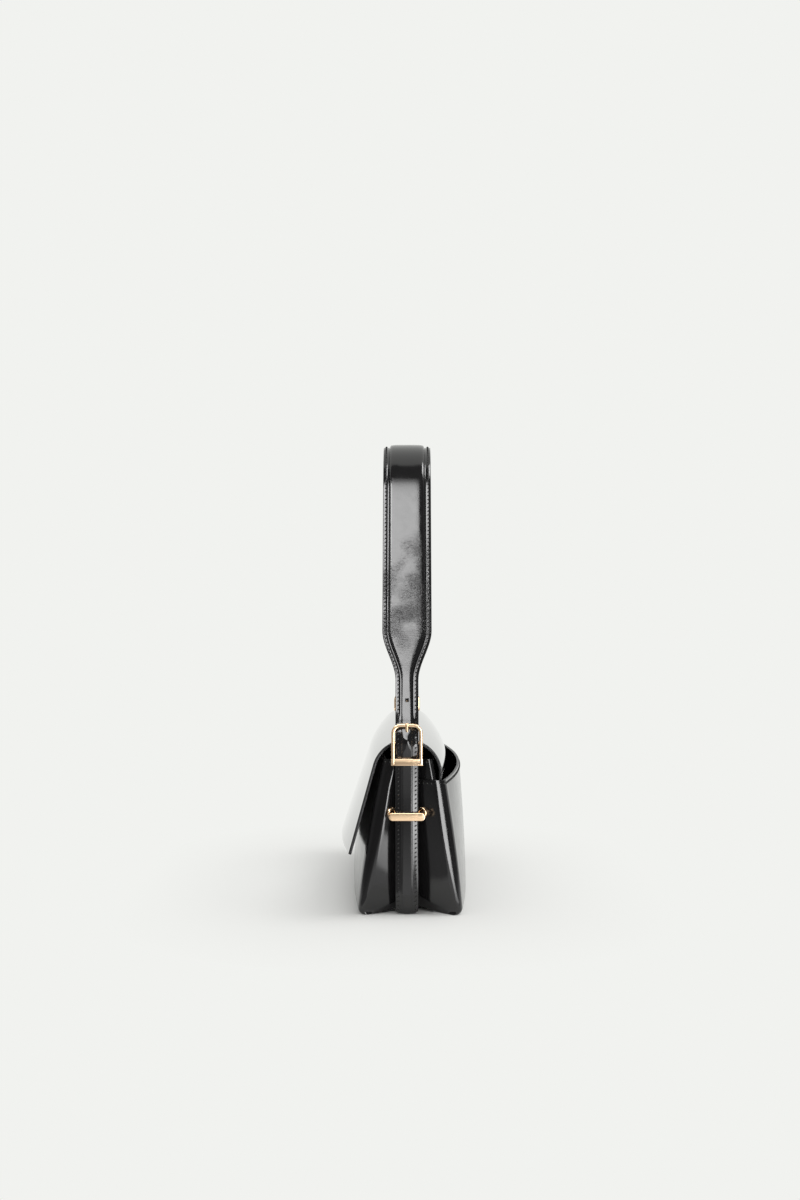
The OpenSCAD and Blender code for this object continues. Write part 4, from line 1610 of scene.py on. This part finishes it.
    def punch(self, piece: bpy.types.Object, route: Points, normals: Points) -> None:
        """Cut the free hole through each end of the strap.

        Args:
            piece: the strap's leather.
            route: the route's points.
            normals: the unit vectors out of it.
        """
        cutters = []
        for side in (1, -1):
            near = [i for i in range(len(route)) if route[i][0] * side > 0]
            i = min(near, key=lambda k: abs(route[k][1] - self.hole_z))
            p, n = route[i], normals[i]
            shell = bmesh.new()
            bmesh.ops.create_cone(shell, cap_ends=True, segments=20, radius1=self.hole_d / 2 * MM,
                                  radius2=self.hole_d / 2 * MM, depth=14.0 * MM)
            turn = Vector((0, 0, 1)).rotation_difference(Vector((n[0], 0.0, n[1])))
            place = Matrix.Translation((p[0] * MM, 0.0, p[1] * MM)) @ turn.to_matrix().to_4x4()
            bmesh.ops.transform(shell, matrix=place, verts=shell.verts)
            mesh = bpy.data.meshes.new("hole_cutter")
            shell.to_mesh(mesh)
            shell.free()
            mesh.materials.append(self.shop.finishes.lining)
            cutter = linked("hole_cutter", mesh)
            cutters.append(cutter)
            cut = piece.modifiers.new("hole", "BOOLEAN")
            cut.operation = "DIFFERENCE"
            cut.solver = "EXACT"
            cut.object = cutter
        applied(piece)
        for cutter in cutters:
            bpy.data.objects.remove(cutter, do_unlink=True)

    def sewn(self, route: Points) -> None:
        """The stitches beside each edge of the strap and tails.

        Args:
            route: the route's points.
        """
        normals = route_normals(route)
        widths = self.half_width(route[:, 1])
        flat = np.stack([normals[:, 0], np.zeros(len(route)), normals[:, 1]], axis=1)
        height = np.array([self.skin_t - 0.34 + 0.4 * self.beaded(float(z)) for z in route[:, 1]])
        x, z = route.T + normals.T * height
        inside = route[:, 1] > self.tip_z + 2.5
        seams = []
        for sign in (1.0, -1.0):
            line = np.stack([x, sign * (widths - self.seam_inset), z], axis=1)
            seams.append((line[inside], flat[inside]))
        piece = self.shop.stitches.sew("strap_stitches", seams)
        self.deliver_blended(piece, Slot.STRAP)


@dataclass
class Fittings:
    """The gold fittings, the snap and the loops that hold the buckles."""

    shop: Workshop
    form: BagForm
    wire: float = 2.5
    corner_r: float = 6.6
    base_h: float = 4.8
    squareness: float = 0.62
    washer_outline: tuple[tuple[float, float], ...] = (
        (1.55, 0.4), (1.8, 1.1), (2.4, 1.65), (3.1, 1.75), (3.6, 1.5), (3.9, 0.9), (3.9, -0.7))
    washer_sides: int = 40
    washer_span: float = 2.6
    metal: list[bpy.types.Object] = field(default_factory=list)

    def build(self) -> None:
        """Make a smooth, softened copy of each packed fitting."""
        m = self.shop.finishes
        for word, prong in (("right", BodyName.PRONG_R), ("left", BodyName.PRONG_L)):
            self.buckle_frame(word)
            self.softened(f"buckle_bar_{word}", m.gold, Slot.GOLD, BodyName.ROOT, 0.0)
            self.softened(f"prong_{word}", m.gold, Slot.GOLD, prong, 0.2)
            self.softened(f"keeper_bar_{word}", m.gold, Slot.GOLD, BodyName.ROOT, 1.05)
            self.washers(word)
            self.softened(f"keeper_plate_{word}", m.gold, Slot.GOLD, BodyName.ROOT, 0.2)
            self.softened(f"buckle_loop_{word}", m.leather, Slot.LEATHER, BodyName.ROOT, 0.3)
        for node, body in (("snap_socket", BodyName.ROOT), ("snap_stud", BodyName.DROP)):
            self.softened(node, m.snap, Slot.SNAP, body, 0.3)
            self.softened(f"{node}_washer", m.snap, Slot.SNAP, body, 0.1)

    def buckle_frame(self, word: str) -> None:
        """The buckle's arched frame, a softly squared wire, on its flat base bar.

        Args:
            word: right or left.
        """
        node = f"buckle_frame_{word}"
        low, high = (np.array(c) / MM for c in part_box(node))
        half, mid = self.wire / 2, 0.5 * (low + high)
        side_y, top_z, bend = high[1] - half, high[2] - half, self.corner_r - half
        path = [(side_y, z) for z in np.linspace(low[2] + 1.0, top_z - bend, 12)]
        path += [(side_y - bend + y, top_z - bend + z)
                 for y, z in arc(bend, np.linspace(0.0, math.pi / 2, 15)[1:])]
        path += [(-y, z) for y, z in reversed(path)]
        route = np.array(path)
        squared = [(math.copysign(abs(a) ** self.squareness, a),
                    math.copysign(abs(b) ** self.squareness, b))
                   for a, b in arc(1.0, np.linspace(0.0, 2.0 * math.pi, 33)[:-1])]
        rings = [[(mid[0] + half * b, y + n[0] * half * a, z + n[1] * half * a) for a, b in squared]
                 for (y, z), n in zip(route, route_normals(route))]
        frame_part = swept(f"{node}_arch", np.array(rings), lambda j: 0,
                           (self.shop.finishes.gold,))
        size = ((high[0] - low[0]) * MM, (high[1] - low[1] + 0.3) * MM, self.base_h * MM)
        place = Matrix.Translation((mid[0] * MM, mid[1] * MM, (low[2] + self.base_h / 2) * MM))
        with reshaping(frame_part.data) as shell:
            bar = bmesh.ops.create_cube(shell, size=1.0)["verts"]
            bmesh.ops.transform(shell, matrix=place @ Matrix.Diagonal((*size, 1.0)), verts=bar)
            edges = list({e for v in bar for e in v.link_edges})
            bmesh.ops.bevel(shell, geom=edges, offset=0.4 * MM, segments=4, profile=0.5,
                            affect="EDGES")
        shade_fitting(frame_part)
        self.metal.append(self.shop.deliver(frame_part, Slot.GOLD, BodyName.ROOT, node))

    def washers(self, word: str) -> None:
        """Domed washers round the keeper's posts, pressed into the gusset.

        Args:
            word: right or left.
        """
        node = f"keeper_washers_{word}"
        side = 1.0 if word == "right" else -1.0
        form = self.form
        z, span = form.washer_z, self.washer_span
        n, count = len(self.washer_outline), self.washer_sides
        up = np.array([0.0, 0.0, 1.0])
        verts, faces = [], []
        for y, ridge, shallow, raised in (
                (-form.washer_y, form.front_ridge(z), form.front_shallow, 0.0),
                (form.washer_y, form.back_ridge(z), 0.0, form.pocket_t)):
            base = len(verts)
            near, far = (float(form.panel_x(abs(y) + d, z, ridge, shallow)) for d in (-span, span))
            turn = math.atan2(far - near, 2.0 * span)
            out = np.array([side * math.cos(turn), -math.copysign(math.sin(turn), y), 0.0])
            across = np.array([side * math.sin(turn), math.copysign(math.cos(turn), y), 0.0])
            centre = np.array([side * (0.5 * (near + far) + raised + 0.3), y, z])
            for k in range(count):
                a = 2.0 * math.pi * k / count
                spoke = math.cos(a) * across + math.sin(a) * up
                verts += [centre + r * spoke + h * out for r, h in self.washer_outline]
                here, there = base + k * n, base + (k + 1) % count * n
                faces += [(here + j, here + (j + 1) % n, there + (j + 1) % n, there + j)
                          for j in range(n)]
        piece = new_object(f"{node}_finished", np.array(verts), faces, (self.shop.finishes.gold,))
        face_outwards(piece)
        self.metal.append(self.shop.deliver(piece, Slot.GOLD, BodyName.ROOT, node))

    def softened(self, node: str, finish: bpy.types.Material, slot: Slot, body: BodyName,
                 rounding: float) -> bpy.types.Object:
        """Copy a CAD node with its edges rounded.

        Args:
            node: the CAD node's name.
            finish: the material.
            slot: the record's slot.
            body: the body that it rides on.
            rounding: the edges' radius in millimetres, or 0 to leave them.

        Returns:
            The finished piece.
        """
        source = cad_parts[node]
        shell = bmesh.new()
        shell.from_mesh(source.data)
        bmesh.ops.transform(shell, matrix=source.matrix_world, verts=shell.verts)
        bmesh.ops.remove_doubles(shell, verts=shell.verts, dist=1e-6)
        bmesh.ops.dissolve_limit(shell, angle_limit=math.radians(1.0), verts=shell.verts,
                                 edges=shell.edges)
        mesh = bpy.data.meshes.new(f"{node}_finished")
        shell.to_mesh(mesh)
        shell.free()
        mesh.materials.clear()
        mesh.materials.append(finish)
        piece = linked(f"{node}_finished", mesh)
        if rounding:
            soften_edges(piece, rounding, 4, 42.0)
        applied(piece)
        shade_fitting(piece)
        if slot in (Slot.GOLD, Slot.SNAP):
            self.metal.append(piece)
        return self.shop.deliver(piece, slot, body, node)


@dataclass
class Studio:
    """The pale floor, the lamps and the camera."""

    focal_px: float = 1725.0
    frame_px: tuple[int, int] = (800, 1200)
    vanish_px: tuple[float, float] = (407.0, 552.0)
    eye: tuple[float, float, float] = (1.315, 0.0, 0.252)
    sensor: float = 36.0
    room_low: float = 0.12
    room_high: float = 0.12
    room_dark: float = 0.06
    box: float = 8.5
    strip: float = 9.0
    # The rectangle under the bag, set off to the left, outside which the floor's painted glow lifts
    # the lamp's shadow.
    unlifted_shadow_y: float = -0.008
    unlifted_shadow_half: tuple[float, float] = (0.119, 0.026)
    glow_reach: float = 0.17
    glow_power: float = 0.5

    def build(self) -> None:
        """Make the camera, the stage and the lights."""
        self.camera()
        self.floor()
        self.surround()
        self.world()
        self.lamps()
        bpy.context.scene.view_settings.view_transform = "Standard"

    def camera(self) -> None:
        """The camera at the photograph's place, level with a small tilt down."""
        data = bpy.data.cameras.new("camera")
        data.sensor_width = self.sensor
        data.lens = self.focal_px * self.sensor / self.frame_px[1]
        data.clip_end = 50.0
        made = linked("camera", data)
        right = (self.vanish_px[0] - self.frame_px[0] / 2) / self.focal_px
        down = (self.frame_px[1] / 2 - self.vanish_px[1]) / self.focal_px
        look = Vector((-1.0, -right, -down)).normalized()
        made.location = self.eye
        made.rotation_euler = look.to_track_quat("-Z", "Y").to_euler()
        bpy.context.scene.camera = made

    def stage_material(self) -> bpy.types.Material:
        """A matt pale floor that turns into an even glow away from the bag's foot: the glow is
        painted light that lifts the lamp's real shadow, less on the left of the bag than on the
        right.

        Returns:
            The material.
        """
        s = Shader("floor_paper")
        paper = s.node("ShaderNodeBsdfDiffuse", in_Color=(0.80, 0.80, 0.785, 1.0))
        glow = s.node("ShaderNodeEmission", in_Color=(0.88, 0.888, 0.864, 1.0), in_Strength=1.0)
        # Painted light: the floor glows more with distance from a rectangle under the bag set off
        # to the left, which lifts the lamp's shadow more on the right than on the left.
        plain = s.vector("ABSOLUTE", s.vector("ADD", s.coords, (0.0, -self.unlifted_shadow_y, 0.0)))
        outside = s.vector("MAXIMUM", s.vector("SUBTRACT", plain, (*self.unlifted_shadow_half, 0.0)))
        away = s.ranged(s.vector("LENGTH", outside), 0.0, 1.0, 0.0, self.glow_reach)
        return s.finished("ShaderNodeMixShader", in_0=s.maths("POWER", away, self.glow_power),
                          in_1=paper.outputs[0], in_2=glow.outputs[0])

    def floor(self) -> None:
        """The floor, which sweeps up behind the bag."""
        paper = self.stage_material()
        far, near, half, high, bend = -6.0, 3.0, 6.0, 6.0, 1.5
        line = [(near, 0.0), (far, 0.0)]
        line += [(far - bend * math.sin(a), bend - bend * math.cos(a))
                 for a in np.linspace(0.1, math.pi / 2, 10)]
        line.append((far - bend, high))
        verts, faces = [], []
        for x, z in line:
            verts += [(x / MM, -half / MM, z / MM), (x / MM, half / MM, z / MM)]
        for i in range(len(line) - 1):
            faces.append((2 * i, 2 * i + 1, 2 * i + 3, 2 * i + 2))
        made = new_object("floor", np.array(verts), faces, (paper,))

    def reflector(self, name: str, azimuths: tuple[float, float],
                  profile: Sequence[tuple[float, float]], level: float,
                  fade: tuple[float, float, float] | None = None) -> None:
        """A card that only shows in reflections: a profile turned about the bag's middle.

        Args:
            name: the card's name.
            azimuths: its two sides, in degrees from +X.
            profile: its outline as distance from the middle and height, in metres.
            level: how bright it is.
            fade: distances from the bag's middle between which the level changes to that one,
                and the level before them.
        """
        s = Shader(name)
        strength = level
        if fade:
            strength = s.ranged(s.vector("LENGTH", s.coords), fade[2], level, fade[0], fade[1])
        glow = s.finished("ShaderNodeEmission", in_Color=(1.0, 1.0, 1.0, 1.0), in_Strength=strength)
        turns = np.radians(np.linspace(azimuths[0], azimuths[1], 25))
        verts = np.array([(r * math.cos(a), r * math.sin(a), z) for a in turns for r, z in profile])
        n = len(profile)
        faces = [(i * n + j, i * n + j + 1, (i + 1) * n + j + 1, (i + 1) * n + j)
                 for i in range(len(turns) - 1) for j in range(n - 1)]
        made = new_object(name, verts / MM, faces, (glow,))
        made.visible_camera = False
        made.visible_diffuse = False
        made.visible_shadow = False
        made.visible_transmission = False

    def surround(self) -> None:
        """The darker room in front of the bag, seen only in its polish."""
        radius, split, top = 3.4, math.radians(43.0), math.radians(88.0)
        low = [(0.15, 0.004), (0.5, 0.004), (radius, 0.004)]
        low += arc(radius, np.linspace(0.05, split, 6))
        sides = (-100.0, -46.0, -7.0, 33.0, 46.0, 100.0)
        for i, azimuths in enumerate(zip(sides[:-1], sides[1:])):
            level, near_level = (self.room_dark, 0.3) if i % 2 else (self.room_low, 0.9)
            self.reflector(f"room_low_{i}", azimuths, low, level, (0.2, 0.52, near_level))
        self.reflector("room_high", (sides[0], sides[-1]), arc(radius, np.linspace(split, top, 6)),
                       self.room_high)
        near = radius - 0.2
        box = arc(near, np.radians(np.linspace(42.0, 53.0, 5)))
        self.reflector("box", (-36.0, 8.0), box, self.box)
        for start, end, share in ((53.0, 56.0, 0.75), (56.0, 60.0, 0.5), (60.0, 65.0, 0.22)):
            self.reflector(f"box_above_{start:.0f}", (-36.0, 8.0),
                           arc(near, np.radians((start, end))), share * self.box)
        self.reflector("strip", (13.0, 31.0),
                       [(0.145, 0.007), (0.7, 0.007), (near, 0.007), (near, 1.3)],
                       self.strip, (0.13, 0.4, 1.5))
        self.reflector("box_left", (-64.0, -36.0), box, 1.4 * self.box)

    def world(self) -> None:
        """A pale surround for what is seen and mirrored, and softer for diffuse light."""
        world = bpy.data.worlds.new("studio")
        bpy.context.scene.world = world
        world.use_nodes = True
        world.node_tree.nodes.clear()
        node = NodeMaker(world.node_tree).node
        rays = node("ShaderNodeLightPath").outputs
        seen = node("ShaderNodeMath", operation="MAXIMUM", in_0=rays["Is Camera Ray"],
                    in_1=rays["Is Glossy Ray"])
        direct = node("ShaderNodeMath", operation="MAXIMUM", in_0=seen.outputs[0],
                      in_1=rays["Is Transmission Ray"])
        soft = node("ShaderNodeBackground", in_Color=(1.0, 1.0, 0.99, 1.0), in_Strength=0.75)
        bright = node("ShaderNodeBackground", in_Color=(0.887, 0.896, 0.871, 1.0), in_Strength=1.0)
        mix = node("ShaderNodeMixShader", in_0=direct.outputs[0], in_1=soft.outputs[0],
                   in_2=bright.outputs[0])
        node("ShaderNodeOutputWorld", in_Surface=mix.outputs[0])

    def lamp(self, name: str, place: Sequence[float], size: tuple[float, float], level: float,
             aim: Sequence[float] = (0.0, 0.0, 0.2)) -> bpy.types.Object:
        """One soft rectangular lamp.

        Args:
            name: the lamp's name.
            place: its middle, in metres.
            size: its width and height, in metres.
            level: how bright its face is.
            aim: the point that it faces.

        Returns:
            The lamp.
        """
        data = bpy.data.lights.new(name, "AREA")
        data.shape = "RECTANGLE"
        data.size, data.size_y = size
        data.energy = level * math.pi * size[0] * size[1]
        made = linked(name, data)
        made.location = place
        made.rotation_euler = (Vector(aim) - Vector(place)).to_track_quat("-Z", "Y").to_euler()
        return made

    def lamps(self) -> None:
        """A large key high on the right, so that the soft shadow falls to the left."""
        self.lamp("key", (0.0, 0.95, 1.9), (0.7, 0.7), 9.0)

    def light_metal(self, pieces: Sequence[bpy.types.Object]) -> None:
        """Two fills, from the front and from the floor, that only the metal receives.

        Args:
            pieces: the metal pieces.
        """
        receivers = bpy.data.collections.new("metal_pieces")
        for piece in pieces:
            receivers.objects.link(piece)
        for made in (self.lamp("metal_fill", (1.7, 0.0, 0.5), (1.8, 1.8), 0.95),
                     self.lamp("metal_floor_fill", (0.95, 0.0, 0.012), (1.5, 1.3), 0.3,
                               (0.95, 0.0, 1.0))):
            made.light_linking.receiver_collection = receivers
            made.visible_camera = False


def main() -> None:
    """Build the bag and its studio."""
    logging.basicConfig(level=logging.INFO, format="%(name)s: %(message)s")
    finishes = Finishes()
    shop = Workshop(finishes, StitchMaker(finishes.thread))
    studio = Studio()
    studio.build()
    form = BagForm()
    fittings = Fittings(shop, form)
    for part in (Body(shop, form), Flap(shop, form), Strap(shop, form), fittings):
        part.build()
    studio.light_metal(fittings.metal)


if __name__ == "__main__":
    main()
